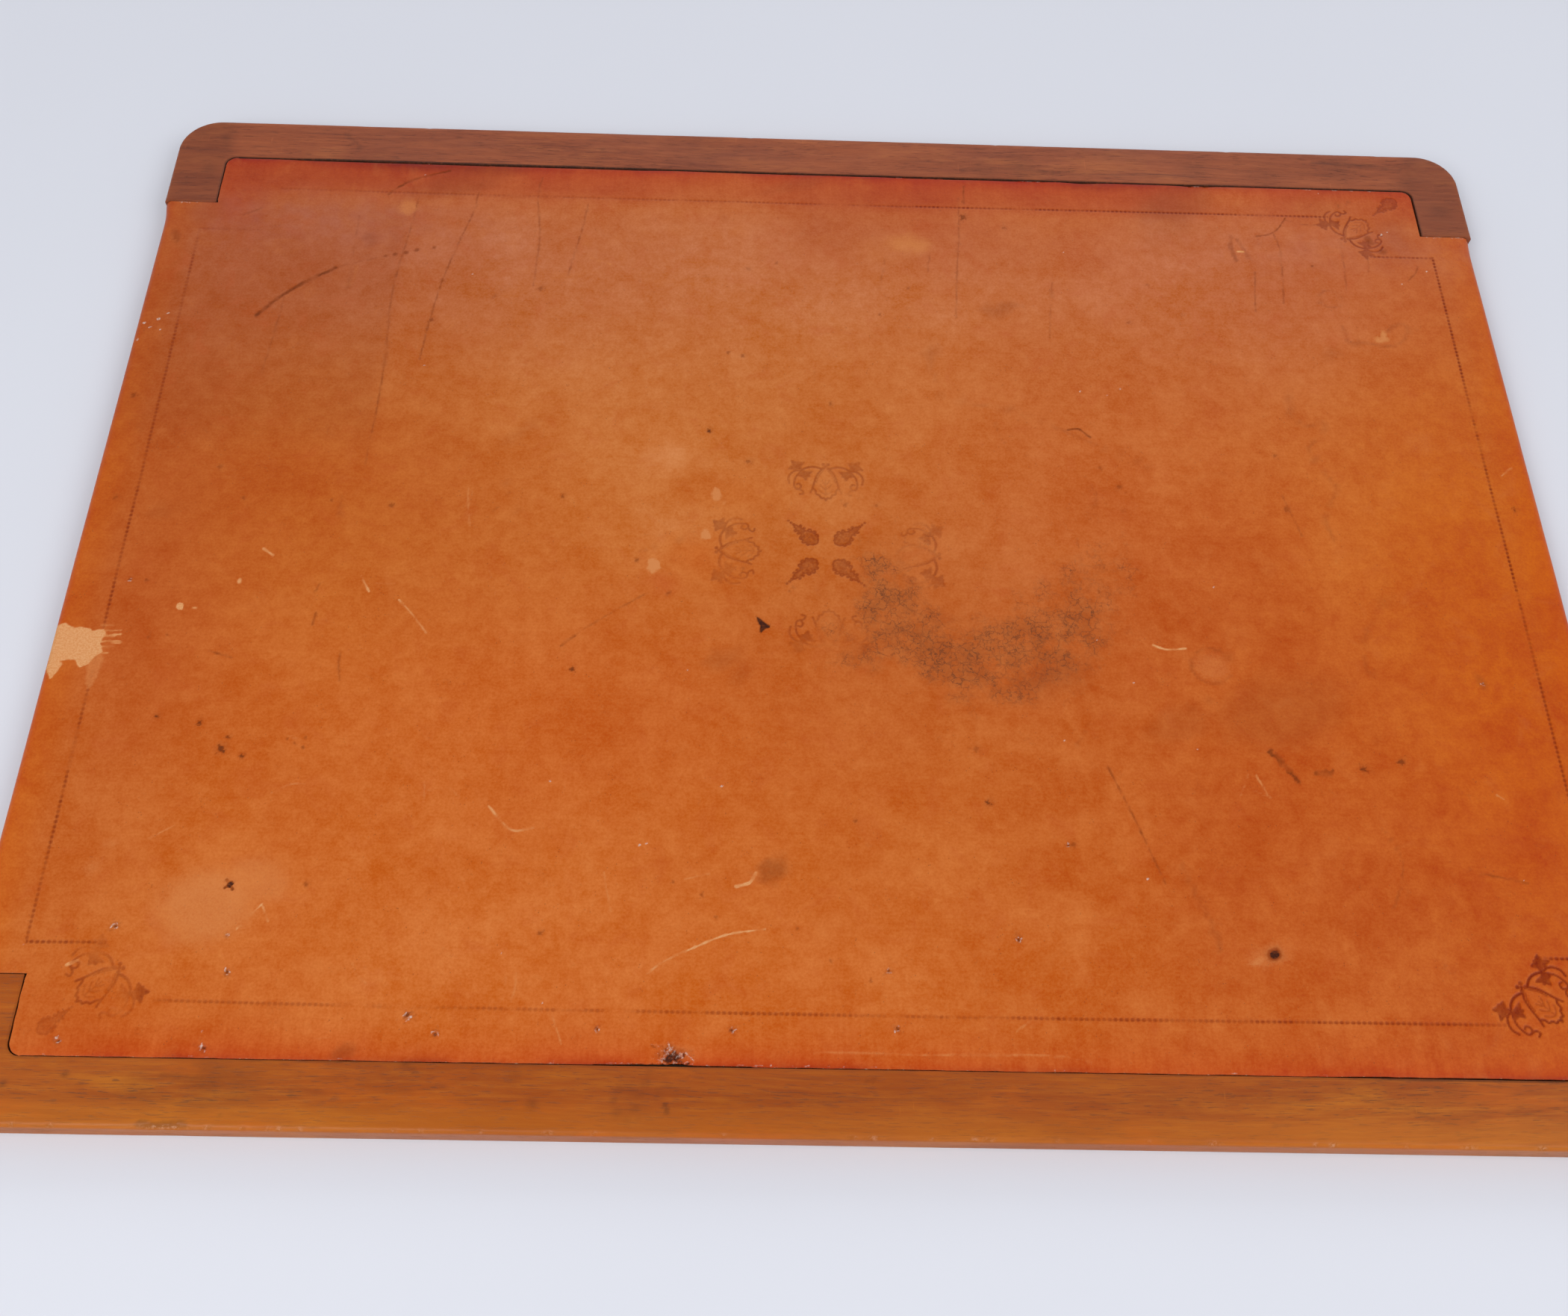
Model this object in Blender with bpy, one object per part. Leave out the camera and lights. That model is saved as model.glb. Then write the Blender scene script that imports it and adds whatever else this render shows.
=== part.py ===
"""Framed leather desk mat.

A tooled hide is laid over a ground of edge-glued pine boards and drawn down
over the left and right edges, where it is turned under and tacked. A walnut
rail closes the front and the back; each rail returns round its two corners,
and both returns are cut from the same plank as the rail. Loose tongues in
grooves hold boards and rails together.

Frame: metres, +Z up, X runs across the width, Y from front (-) to back (+).
The origin is the middle of the underside, on the plane the mat rests on.
"""

import math

import bmesh
import bpy
from mathutils import Matrix

# ------------------------------------------------------------ driving sizes
WIDTH = 1.031               # over the ends of the two rails
DEPTH = 0.794               # front edge of the front rail to back edge of the rear one
THICK = 0.020               # rails, underside to top
GAP = 0.0003                # joint clearance between neighbouring pieces

RAIL_W = 0.040              # width of a rail, front to back
RETURN_W = 0.0405           # width of a return, measured across the mat
RETURN_L = 0.048            # how far a return runs in from its rail
CORNER_R = 0.031            # outer corner, in plan
INNER_R = 0.008             # inner corner of rail and return, and of the hide, in plan
TOP_ROUND = 0.003           # round-over on the outer top arris
LOW_BEVEL = 0.0012          # broken arris on the underside

HIDE_T = 0.0024             # leather thickness on top
HIDE_DROP = 0.0002          # leather sits this far under the rail tops
HIDE_SIDE = 0.5125          # outer face of the leather on each side
HIDE_ROLL = 0.006           # outer radius where it rolls over the side
HIDE_ROLL_LOW = 0.0028      # outer radius where it turns under
HIDE_LAP = 0.030            # outer face of the leather to the free edge of the lap
HIDE_SKIVE = 0.0015         # thickness of the turned-under lap
HIDE_CLEAR = 0.0006         # leather edge to rail
HIDE_CLEAR_RETURN = 0.0012  # leather edge to the inner side of a return
HIDE_CLEAR_END = 0.0005     # leather edge to the end face of a return

GROUND_LOW = 0.0030         # underside of the ground boards
BOARD_COUNT = 4
BOARD_END_CLEAR = 0.0003    # board end to the leather drawn over it
BOARD_LOW_ROUND = 0.0012    # round-over on the lower arris of a board end

TONGUE_T = 0.0050           # loose tongue, thickness
TONGUE_W = 0.0180           # loose tongue, width across the joint
TONGUE_Z = 0.0100           # height of every tongue's centre line
TONGUE_BEVEL = 0.0006       # broken long arrises
RAIL_TONGUE_L = 0.900       # rail tongues stop short of the returns
BOARD_TONGUE_L = 0.960      # tongues between boards stop short of the tacks

TACK_HEAD_R = 0.0036
TACK_HEAD_T = 0.0007
TACK_SHANK = 0.0016         # square section under the head
TACK_TIP = 0.0005           # square section at the point
TACK_LENGTH = 0.0100        # shank, from the head's upper face
TACK_COUNT = 12             # along each side
TACK_INSET = 0.018          # from the outer face of the leather
TACK_END_INSET = 0.022      # outermost tack to the line of the return's end face
TACK_JOINT_CLEAR = 0.012    # least distance from a joint between boards
TACK_HEAD_DROP = 0.0002     # head's upper face below the lap
TACK_HOLE_EXTRA = 0.0008    # hole depth beyond the point

# How far the cutters run past the faces they open.
GROOVE_OVERRUN = 0.002
NOTCH_OVERRUN_X = 0.010
BOARD_NOTCH_OVERRUN_Z = 0.005
HIDE_NOTCH_OVERRUN_Y = 0.005
HIDE_NOTCH_OVERRUN_Z = 0.010
HOLE_LOW = -0.002           # lower end of the shank hole cutters

# Tack head, lower face to upper face: (fraction of radius, fraction of thickness)
TACK_HEAD_PROFILE = [(0.55, -1.0), (0.92, -0.62), (1.0, -0.15), (0.96, 0.0)]
TACK_HEAD_SIDES = 12

# ---------------------------------------------------------------- derived
HALF_W = WIDTH / 2
HALF_D = DEPTH / 2
INNER_Y = HALF_D - RAIL_W                 # inner face of each rail
RETURN_X = HALF_W - RETURN_W              # inner face of each return
RETURN_Y = INNER_Y - RETURN_L             # end face of each return
HIDE_TOP = THICK - HIDE_DROP
HIDE_Y = INNER_Y - HIDE_CLEAR             # front and rear edges of the hide
GROUND_TOP = HIDE_TOP - HIDE_T - GAP
GROUND_X = HIDE_SIDE - HIDE_T - BOARD_END_CLEAR
GROUND_Y = INNER_Y - GAP
BOARD_W = (2 * GROUND_Y - (BOARD_COUNT - 1) * GAP) / BOARD_COUNT
BOARD_TOP_ROUND = HIDE_ROLL - HIDE_T - GAP
LAP_TOP = GROUND_LOW - GAP
LAP_LOW = LAP_TOP - HIDE_SKIVE
TACK_Z = LAP_LOW - TACK_HEAD_DROP         # upper face of the heads

SIDES = (("left", -1), ("right", 1))      # signs of X
ENDS = (("front", -1), ("rear", 1))       # signs of Y


def board_span(index):
    """Front and back edges of a ground board, counted from the front."""
    front = -GROUND_Y + index * (BOARD_W + GAP)
    return front, front + BOARD_W


# Centre lines of the joints between boards.
JOINTS = [board_span(i)[1] + GAP / 2 for i in range(BOARD_COUNT - 1)]


# -------------------------------------------------------------- materials
def material(name, colour, roughness, metallic=0.0):
    mat = bpy.data.materials.new(name)
    mat.use_nodes = True
    inputs = mat.node_tree.nodes["Principled BSDF"].inputs
    inputs["Base Color"].default_value = (*colour, 1.0)
    inputs["Roughness"].default_value = roughness
    inputs["Metallic"].default_value = metallic
    return mat


# ---------------------------------------------------------------- helpers
def solid_mesh(name, solid, mat=None, smooth_angle=None):
    """Turn a bmesh into a mesh with every face pointing out of the solid."""
    bmesh.ops.recalc_face_normals(solid, faces=solid.faces)
    if solid.calc_volume(signed=True) < 0:
        bmesh.ops.reverse_faces(solid, faces=solid.faces)
    mesh = bpy.data.meshes.new(name)
    solid.to_mesh(mesh)
    solid.free()
    if mat is not None:
        mesh.materials.append(mat)
    if smooth_angle is not None:
        mesh.shade_smooth()
        mesh.set_sharp_from_angle(angle=math.radians(smooth_angle))
    return mesh


def place(name, mesh, location=(0, 0, 0)):
    ob = bpy.data.objects.new(name, mesh)
    ob.location = location
    bpy.context.scene.collection.objects.link(ob)
    return ob


def finish(name, solid, mat=None, smooth_angle=None):
    bmesh.ops.remove_doubles(solid, verts=solid.verts, dist=1e-6)
    return place(name, solid_mesh(name, solid, mat, smooth_angle))


def arc(centre_x, centre_y, radius, start, end, steps):
    """Points of a circular arc, angles in degrees, both ends included."""
    points = []
    for i in range(steps + 1):
        angle = math.radians(start + (end - start) * i / steps)
        points.append((centre_x + radius * math.cos(angle), centre_y + radius * math.sin(angle)))
    return points


def mirrored(points):
    """Points reflected left to right, in reverse order to keep the walk going."""
    return [(-x, other) for x, other in reversed(points)]


def prism(outline, low, high, axis="Z"):
    """The outline filled and extruded along Z, or along Y from an XZ outline."""
    solid = bmesh.new()
    if axis == "Z":
        corners = [(x, y, low) for x, y in outline]
        step = (0, 0, high - low)
    else:
        corners = [(x, low, z) for x, z in outline]
        step = (0, high - low, 0)
    face = solid.faces.new([solid.verts.new(corner) for corner in corners])
    grown = bmesh.ops.extrude_face_region(solid, geom=[face])
    moved = [item for item in grown["geom"] if isinstance(item, bmesh.types.BMVert)]
    bmesh.ops.translate(solid, verts=moved, vec=step)
    return solid


def add_block(solid, *spans):
    """Add a box given its X, Y and Z spans, each (low, high)."""
    centre = [(low + high) / 2 for low, high in spans]
    size = [high - low for low, high in spans]
    cube = bmesh.ops.create_cube(solid, size=1.0)
    bmesh.ops.transform(
        solid,
        matrix=Matrix.Translation(centre) @ Matrix.Diagonal((*size, 1.0)),
        verts=cube["verts"],
    )


def block(*spans):
    solid = bmesh.new()
    add_block(solid, *spans)
    return solid


def bevel(solid, edges, offset, segments):
    bmesh.ops.bevel(
        solid, geom=edges, offset=offset, segments=segments, profile=0.5, affect="EDGES"
    )


def cut(ob, cutter):
    """Keep the cutter as a hidden wire guide and subtract it."""
    cutter.hide_render = True
    cutter.display_type = "WIRE"
    mod = ob.modifiers.new("cut_" + cutter.name, "BOOLEAN")
    mod.operation = "DIFFERENCE"
    mod.solver = "EXACT"
    mod.object = cutter


def cut_groove(ob, name, face_y, inward, tongue_length):
    """Groove for a loose tongue; inward is the Y sign from the face into the piece."""
    half_length = tongue_length / 2 + GAP
    half_height = TONGUE_T / 2 + GAP
    mouth = face_y - inward * GROOVE_OVERRUN
    floor = face_y + inward * (TONGUE_W / 2 + GAP)
    solid = block(
        (-half_length, half_length),
        (min(mouth, floor), max(mouth, floor)),
        (TONGUE_Z - half_height, TONGUE_Z + half_height),
    )
    cut(ob, finish(name, solid))


def cut_notch(ob, name, plan, side_x, side_y, overrun):
    """Corner notch; the plan is drawn for the rear right corner and mirrored."""
    plan = [(side_x * x, side_y * y) for x, y in plan]
    if side_x * side_y < 0:
        plan.reverse()
    cut(ob, finish(name, prism(plan, -overrun, THICK + overrun)))


# -------------------------------------------------------------------- rails
def rail_outline(side):
    """Plan of a rail with its two returns; side is -1 for front, +1 for rear.

    The outer corners are quarter circles, the inner ones small coves that
    the hide's own corners follow.
    """
    outer = [(RETURN_X, RETURN_Y), (HALF_W, RETURN_Y)]
    outer += arc(HALF_W - CORNER_R, HALF_D - CORNER_R, CORNER_R, 0, 90, steps=14)
    cove = arc(RETURN_X - INNER_R, INNER_Y - INNER_R, INNER_R, 90, 0, steps=6)
    outline = outer + mirrored(outer) + mirrored(cove) + cove
    if side < 0:
        outline = [(x, -y) for x, y in reversed(outline)]
    return outline


def outer_arrises(solid, height):
    """Edges of a rail's outer outline at one height, return ends excluded."""
    edges = []
    for edge in solid.edges:
        if any(abs(vert.co.z - height) > 1e-6 for vert in edge.verts):
            continue
        middle = (edge.verts[0].co + edge.verts[1].co) / 2
        on_inside = abs(middle.x) < RETURN_X + 1e-4 and abs(middle.y) < INNER_Y + 1e-4
        at_return_end = abs(abs(middle.y) - RETURN_Y) < 1e-5
        if not on_inside and not at_return_end:
            edges.append(edge)
    return edges


def make_rail(name, side):
    solid = prism(rail_outline(side), 0.0, THICK)
    bmesh.ops.recalc_face_normals(solid, faces=solid.faces)
    bevel(solid, outer_arrises(solid, THICK), TOP_ROUND, segments=4)
    bevel(solid, outer_arrises(solid, 0.0), LOW_BEVEL, segments=1)
    rail = finish(name, solid, WALNUT, smooth_angle=35)
    cut_groove(rail, name + "_groove_guide", side * INNER_Y, side, RAIL_TONGUE_L)


# ------------------------------------------------------------ ground boards
def end_arrises(solid, height):
    """Edges across the two ends of a board at one height."""
    return [
        edge for edge in solid.edges
        if all(
            abs(abs(vert.co.x) - GROUND_X) < 1e-6 and abs(vert.co.z - height) < 1e-6
            for vert in edge.verts
        )
    ]


def board_notch_plan():
    """Room for a return and for the cove where it meets its rail."""
    inner_x = RETURN_X - GAP
    end_y = RETURN_Y - GAP
    far_x = HALF_W + NOTCH_OVERRUN_X
    cove_x = RETURN_X - INNER_R
    cove_y = INNER_Y - INNER_R
    plan = [(inner_x, end_y), (far_x, end_y), (far_x, HALF_D), (cove_x, HALF_D)]
    plan += arc(cove_x, cove_y, INNER_R - 2 * GAP, 90, 0, steps=6)
    plan += [(inner_x, cove_y)]
    return plan


def make_board(index):
    """One pine board: grooved on both long edges, arrises of the ends
    rounded so that the hide can turn over them without cracking."""
    front, back = board_span(index)
    solid = block((-GROUND_X, GROUND_X), (front, back), (GROUND_LOW, GROUND_TOP))
    bevel(solid, end_arrises(solid, GROUND_TOP), BOARD_TOP_ROUND, segments=4)
    bevel(solid, end_arrises(solid, GROUND_LOW), BOARD_LOW_ROUND, segments=2)
    number = index + 1
    board = finish(f"ground_board_{number}", solid, PINE)

    meets_front_rail = index == 0
    meets_rear_rail = index == BOARD_COUNT - 1
    for tag, edge_y, inward, at_rail in (
        ("front", front, 1, meets_front_rail),
        ("back", back, -1, meets_rear_rail),
    ):
        length = RAIL_TONGUE_L if at_rail else BOARD_TONGUE_L
        cut_groove(board, f"board_{number}_{tag}_groove_guide", edge_y, inward, length)

    # The outer boards are notched at both ends to receive the returns.
    if meets_front_rail or meets_rear_rail:
        side_y = -1 if meets_front_rail else 1
        for tag, side_x in SIDES:
            cut_notch(board, f"board_{number}_notch_guide_{tag}", board_notch_plan(),
                      side_x, side_y, BOARD_NOTCH_OVERRUN_Z)
    return board


# ------------------------------------------------------------ loose tongues
def make_tongue(name, centre_y, length):
    solid = block(
        (-length / 2, length / 2),
        (centre_y - TONGUE_W / 2, centre_y + TONGUE_W / 2),
        (TONGUE_Z - TONGUE_T / 2, TONGUE_Z + TONGUE_T / 2),
    )
    long_arrises = [
        edge for edge in solid.edges
        if abs(edge.verts[0].co.x - edge.verts[1].co.x) > length / 2
    ]
    bevel(solid, long_arrises, TONGUE_BEVEL, segments=1)
    finish(name, solid, BEECH)


# --------------------------------------------------------------------- hide
def hide_section():
    """Cross-section of the leather in X and Z: flat on top, rolled over each
    side, turned under and skived. Walked once round the outline."""
    roll_x = HIDE_SIDE - HIDE_ROLL
    roll_z = HIDE_TOP - HIDE_ROLL
    low_z = LAP_LOW + HIDE_ROLL_LOW
    low_inner_r = HIDE_ROLL_LOW - HIDE_SKIVE
    lap_x = HIDE_SIDE - HIDE_LAP
    # Right half: the outside from the top to the lap's edge, then the inside back up.
    right = arc(roll_x, roll_z, HIDE_ROLL, 90, 0, steps=6)
    right += arc(HIDE_SIDE - HIDE_ROLL_LOW, low_z, HIDE_ROLL_LOW, 0, -90, steps=4)
    right += [(lap_x, LAP_LOW), (lap_x, LAP_TOP)]
    right += arc(HIDE_SIDE - HIDE_T - low_inner_r, low_z, low_inner_r, -90, 0, steps=3)
    right += arc(roll_x, roll_z, HIDE_ROLL - HIDE_T, 0, 90, steps=6)
    return right + mirrored(right)


def hide_notch_plan():
    """Room for a return, with the hide's own corner rounded off."""
    inner_x = RETURN_X - HIDE_CLEAR_RETURN
    end_y = RETURN_Y - HIDE_CLEAR_END
    far_x = HALF_W + NOTCH_OVERRUN_X
    far_y = HIDE_Y + HIDE_NOTCH_OVERRUN_Y
    corner_x = inner_x - INNER_R
    plan = [(inner_x, end_y), (far_x, end_y), (far_x, far_y), (corner_x, far_y)]
    # Starting short of 90 degrees, the cutter crosses the hide's edge at an angle.
    plan += arc(corner_x, HIDE_Y - INNER_R, INNER_R, 84, 0, steps=6)
    return plan


def make_hide():
    solid = prism(hide_section(), -HIDE_Y, HIDE_Y, axis="Y")
    hide = finish("leather_hide", solid, LEATHER, smooth_angle=35)
    for end_tag, side_y in ENDS:
        for side_tag, side_x in SIDES:
            cut_notch(hide, f"hide_{end_tag}_{side_tag}_notch_guide", hide_notch_plan(),
                      side_x, side_y, HIDE_NOTCH_OVERRUN_Z)
    return hide


# -------------------------------------------------------------------- tacks
def tack_stations():
    """Y of each tack along a lap: even steps, moved clear of the board joints."""
    reach = RETURN_Y - TACK_END_INSET
    stations = []
    for i in range(TACK_COUNT):
        y = -reach + 2 * reach * i / (TACK_COUNT - 1)
        joint = min(JOINTS, key=lambda joint_y: abs(joint_y - y))
        if abs(joint - y) < TACK_JOINT_CLEAR:
            y = joint + (TACK_JOINT_CLEAR if y >= joint else -TACK_JOINT_CLEAR)
        stations.append(y)
    return stations


def add_ring(solid, radius, z, count, start=0.0):
    """Vertices evenly spaced on a level circle, from a start angle in radians."""
    points = []
    for k in range(count):
        angle = start + 2 * math.pi * k / count
        points.append(solid.verts.new((radius * math.cos(angle), radius * math.sin(angle), z)))
    return points


def add_square(solid, width, z):
    return add_ring(solid, width / 2 * math.sqrt(2), z, 4, start=math.pi / 4)


def tack_mesh():
    """A cut tack: low domed round head below, square shank tapering to a point."""
    solid = bmesh.new()
    new_face = solid.faces.new
    sides = TACK_HEAD_SIDES
    rings = [
        add_ring(solid, TACK_HEAD_R * radius, TACK_HEAD_T * height, sides)
        for radius, height in TACK_HEAD_PROFILE
    ]
    new_face(rings[0])
    for lower, upper in zip(rings, rings[1:]):
        for k in range(sides):
            after = (k + 1) % sides
            new_face((lower[k], lower[after], upper[after], upper[k]))

    # Shank root: a square in the head's upper face, each corner fanned to
    # its own quarter of the rim.
    root = add_square(solid, TACK_SHANK, 0.0)
    rim = rings[-1]
    quarter = sides // 4
    for k in range(4):
        for j in range(k * quarter, (k + 1) * quarter):
            new_face((root[k], rim[j], rim[(j + 1) % sides]))
        new_face((root[k], rim[(k + 1) * quarter % sides], root[(k + 1) % 4]))

    tip = add_square(solid, TACK_TIP, TACK_LENGTH)
    for k in range(4):
        after = (k + 1) % 4
        new_face((root[k], root[after], tip[after], tip[k]))
    new_face(tip)
    return solid_mesh("tack", solid, STEEL, smooth_angle=40)


def make_tacks():
    mesh = tack_mesh()
    for tag, side in SIDES:
        for i, y in enumerate(tack_stations()):
            x = side * (HIDE_SIDE - TACK_INSET)
            place(f"tack_{tag}_{i + 1:02d}", mesh, (x, y, TACK_Z))


def cut_shank_holes(hide, boards):
    """Clearance holes for the shanks, through the lap and into the boards."""
    half = TACK_SHANK / 2 + GAP
    hole_top = TACK_Z + TACK_LENGTH + TACK_HOLE_EXTRA
    for tag, side in SIDES:
        x = side * (HIDE_SIDE - TACK_INSET)
        for i, board in enumerate(boards):
            front, back = board_span(i)
            holes = bmesh.new()
            for y in tack_stations():
                if front < y < back:
                    add_block(holes, (x - half, x + half), (y - half, y + half),
                              (HOLE_LOW, hole_top))
            guide = finish(f"shank_holes_guide_{tag}_{i + 1}", holes)
            cut(board, guide)
            cut(hide, guide)


# ------------------------------------------------------------------- build
for old in list(bpy.data.objects):
    bpy.data.objects.remove(old, do_unlink=True)

LEATHER = material("tan_leather", colour=(0.52, 0.125, 0.020), roughness=0.48)
WALNUT = material("polished_walnut", colour=(0.27, 0.090, 0.022), roughness=0.32)
PINE = material("pine_ground", colour=(0.56, 0.37, 0.19), roughness=0.70)
BEECH = material("beech_tongue", colour=(0.50, 0.30, 0.15), roughness=0.65)
STEEL = material("blued_steel", colour=(0.10, 0.10, 0.12), roughness=0.42, metallic=1.0)

for end, sign in ENDS:
    make_rail(f"{end}_rail", sign)
ground = [make_board(i) for i in range(BOARD_COUNT)]
for i, joint_centre in enumerate(JOINTS):
    make_tongue(f"board_tongue_{i + 1}", joint_centre, BOARD_TONGUE_L)
for end, sign in ENDS:
    make_tongue(f"{end}_rail_tongue", sign * (INNER_Y - GAP / 2), RAIL_TONGUE_L)
leather = make_hide()
make_tacks()
cut_shank_holes(leather, ground)
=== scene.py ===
"""A tooled leather hide drawn over pine boards, between two U-shaped walnut rails.

It lies flat with its underside at Z = 0. X runs to the right, Y from front to
back. Each rail's long part lies along X, and its returns run in towards the
other rail. Meshes are in metres; the marks on the hide are placed in millimetres.
"""
import math
from functools import lru_cache

import bpy
import numpy as np
from mathutils import Matrix, Vector


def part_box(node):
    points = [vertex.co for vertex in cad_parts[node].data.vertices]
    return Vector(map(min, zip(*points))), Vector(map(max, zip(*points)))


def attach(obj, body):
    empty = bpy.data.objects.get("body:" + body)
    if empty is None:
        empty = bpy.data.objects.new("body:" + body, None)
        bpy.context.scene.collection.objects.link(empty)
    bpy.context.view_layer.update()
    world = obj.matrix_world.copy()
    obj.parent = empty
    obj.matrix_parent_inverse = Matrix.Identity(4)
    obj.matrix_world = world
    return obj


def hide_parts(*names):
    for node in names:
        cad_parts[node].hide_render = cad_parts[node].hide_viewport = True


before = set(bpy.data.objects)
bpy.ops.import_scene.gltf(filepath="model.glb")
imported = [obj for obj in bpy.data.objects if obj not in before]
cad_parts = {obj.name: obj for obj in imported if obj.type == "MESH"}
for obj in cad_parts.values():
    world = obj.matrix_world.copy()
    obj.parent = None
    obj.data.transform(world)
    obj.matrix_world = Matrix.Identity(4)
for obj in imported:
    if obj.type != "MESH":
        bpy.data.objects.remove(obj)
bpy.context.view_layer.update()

# ===================================================================== sizes
MM = 1000.0                       # millimetres in a metre
hide_low, hide_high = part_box("leather_hide")
rear_low, rear_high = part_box("rear_rail")

HIDE_SIDE = hide_high[0]          # outer face of the leather at the sides
HIDE_Y = hide_high[1]             # front and back cut edges of the hide
HIDE_TOP = hide_high[2]
LAP_LOW = hide_low[2]
HALF_W, HALF_D, THICK = rear_high
RETURN_Y = rear_low[1]            # end face of the returns
RAIL_WIDTH, RETURN_WIDTH = 0.040, 0.0405
INNER_Y = HALF_D - RAIL_WIDTH     # inner faces of the rails and returns
RETURN_X = HALF_W - RETURN_WIDTH
NOTCH_X = RETURN_X - 0.0012       # hide edge beside a return
NOTCH_Y = RETURN_Y - 0.0005       # hide edge facing a return's end
HIDE_T, SKIVED_T, LAP = 0.0024, 0.0015, 0.030
ROLL, LOW_ROLL = 0.006, 0.0028    # radii where the hide turns down, then under
OUTER_R, INNER_R = 0.031, 0.008   # rail corners


# ===================================================================== noise
@lru_cache(maxsize=None)
def lattice_values(seed):
    return np.random.RandomState(seed).rand(128, 128) * 2 - 1


def noise(x, y, seed):
    """Smooth value noise, -1 to 1; x and y are in lattice cells."""
    grid = lattice_values(seed)
    i, j = np.floor(x).astype(np.int64), np.floor(y).astype(np.int64)
    part_x, part_y = x - i, y - j
    part_x = part_x * part_x * (3 - 2 * part_x)
    part_y = part_y * part_y * (3 - 2 * part_y)

    def row(k):
        start, end = grid[i % 128, (j + k) % 128], grid[(i + 1) % 128, (j + k) % 128]
        return start * (1 - part_x) + end * part_x

    return row(0) * (1 - part_y) + row(1) * part_y


def clouds(x, y, size, seed, octaves=3):
    """Layered noise; size is the largest feature in the units of x and y."""
    total, weight, weights = 0.0, 1.0, 0.0
    for k in range(octaves):
        total = total + weight * noise(x / size + 17.3 * k, y / size - 9.1 * k, seed + k)
        weights += weight
        weight *= 0.5
        size *= 0.5
    return total / weights


def ease(start, end, value):
    """0 at start, 1 at end, smooth between; start may be the larger."""
    t = np.clip((value - start) / (end - start), 0, 1)
    return t * t * (3 - 2 * t)


# ============================================================ hide lattice
# The hide is one flat sheet, drawn over the sides. Its x runs across it, along
# its own surface, and its y from front to back, in mm. The finest lattice has
# about 0.7 mm steps; the mesh keeps those only where the relief needs them.
FLAT_END = (HIDE_SIDE - ROLL) * MM
ROLL_END = FLAT_END + ROLL * MM * math.pi / 2
SIDE_END = ROLL_END + (HIDE_TOP - ROLL - (LAP_LOW + LOW_ROLL)) * MM
LOW_ROLL_END = SIDE_END + LOW_ROLL * MM * math.pi / 2
SHEET_X = LOW_ROLL_END + (LAP - LOW_ROLL) * MM
SHEET_Y = HIDE_Y * MM
CUT_X, CUT_Y = NOTCH_X * MM, NOTCH_Y * MM              # the corner notches
TOP_LEVEL = 4                                          # largest block: 2 ** 4 cells
SIDE_BLOCKS, CENTRE_BLOCKS = 8, 84                     # across
EDGE_BLOCKS, MIDDLE_BLOCKS = 4, 56                     # front to back


def axis_lines(end, cut, outer_blocks, middle_blocks):
    edges = (-end, -cut, cut, end)
    lines = [np.array([-end])]
    for start, stop, blocks in zip(edges, edges[1:], (outer_blocks, middle_blocks, outer_blocks)):
        lines.append(np.linspace(start, stop, blocks * 2 ** TOP_LEVEL + 1)[1:])
    return np.concatenate(lines)


X_LINES = axis_lines(SHEET_X, CUT_X, SIDE_BLOCKS, CENTRE_BLOCKS)
Y_LINES = axis_lines(SHEET_Y, CUT_Y, EDGE_BLOCKS, MIDDLE_BLOCKS)
COUNT_X, COUNT_Y = len(X_LINES), len(Y_LINES)


def round_corners(x, y, radius):
    """Rounds the hide's four corners beside the returns: each corner square is
    drawn in on to a quarter disc."""
    part_x = (np.abs(x) - (CUT_X - radius)) / radius
    part_y = (np.abs(y) - (SHEET_Y - radius)) / radius
    inside = (part_x > 0) & (part_y > 0) & (part_x <= 1.0001) & (part_y <= 1.0001)
    pull = np.maximum(part_x, part_y) / np.maximum(np.hypot(part_x, part_y), 1e-9)
    round_x = np.sign(x) * ((CUT_X - radius) + part_x * pull * radius)
    round_y = np.sign(y) * ((SHEET_Y - radius) + part_y * pull * radius)
    return np.where(inside, round_x, x), np.where(inside, round_y, y)


FLAT_X, FLAT_Y = round_corners(*np.meshgrid(X_LINES, Y_LINES, indexing="ij"), INNER_R * MM)

# tooling: blind tooling; dark: ink, scratches, stains; pale: scuffs that have
# lost their finish; white: torn fibres and crumbs; crazed: where the finish has
# crazed. All run 0 to 1. relief is height in mm.
tooling, dark, pale, white, crazed, relief = (np.zeros_like(FLAT_X) for _ in range(6))


# ------------------------------------------------------------ drawing marks
def window(low, high, pad):
    """The padded box from low to high as lattice slices, with its x and y."""
    slices = []
    for lines, start, end in zip((X_LINES, Y_LINES), low, high):
        first, last = np.searchsorted(lines, [start - pad, end + pad])
        slices.append(slice(max(first - 1, 0), last + 1))
    win = tuple(slices)
    return win, FLAT_X[win], FLAT_Y[win]


def press(field, win, mark, amount, depth=0.0):
    field[win] = np.maximum(field[win], mark * amount)
    relief[win] -= mark * depth


def smooth_path(points, step=0.8):
    """Catmull-Rom curve through flat x, y pairs; two points give a straight line."""
    knots = np.reshape(points, (-1, 2)).astype(float)

    def count(start, end):
        return max(2, int(np.hypot(*(end - start)) / step) + 1)

    if len(knots) < 3:
        t = np.linspace(0, 1, count(knots[0], knots[-1]))[:, None]
        return knots[0] + (knots[-1] - knots[0]) * t
    knots = np.vstack([2 * knots[0] - knots[1], knots, 2 * knots[-1] - knots[-2]])
    curve = []
    for before, start, end, after in zip(knots, knots[1:], knots[2:], knots[3:]):
        t = np.linspace(0, 1, count(start, end), endpoint=False)[:, None]
        curve.append(0.5 * (2 * start + (end - before) * t
                            + (2 * before - 5 * start + 4 * end - after) * t ** 2
                            + (3 * start - before - 3 * end + after) * t ** 3))
    curve.append(knots[-2:-1])
    return np.vstack(curve)


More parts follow.
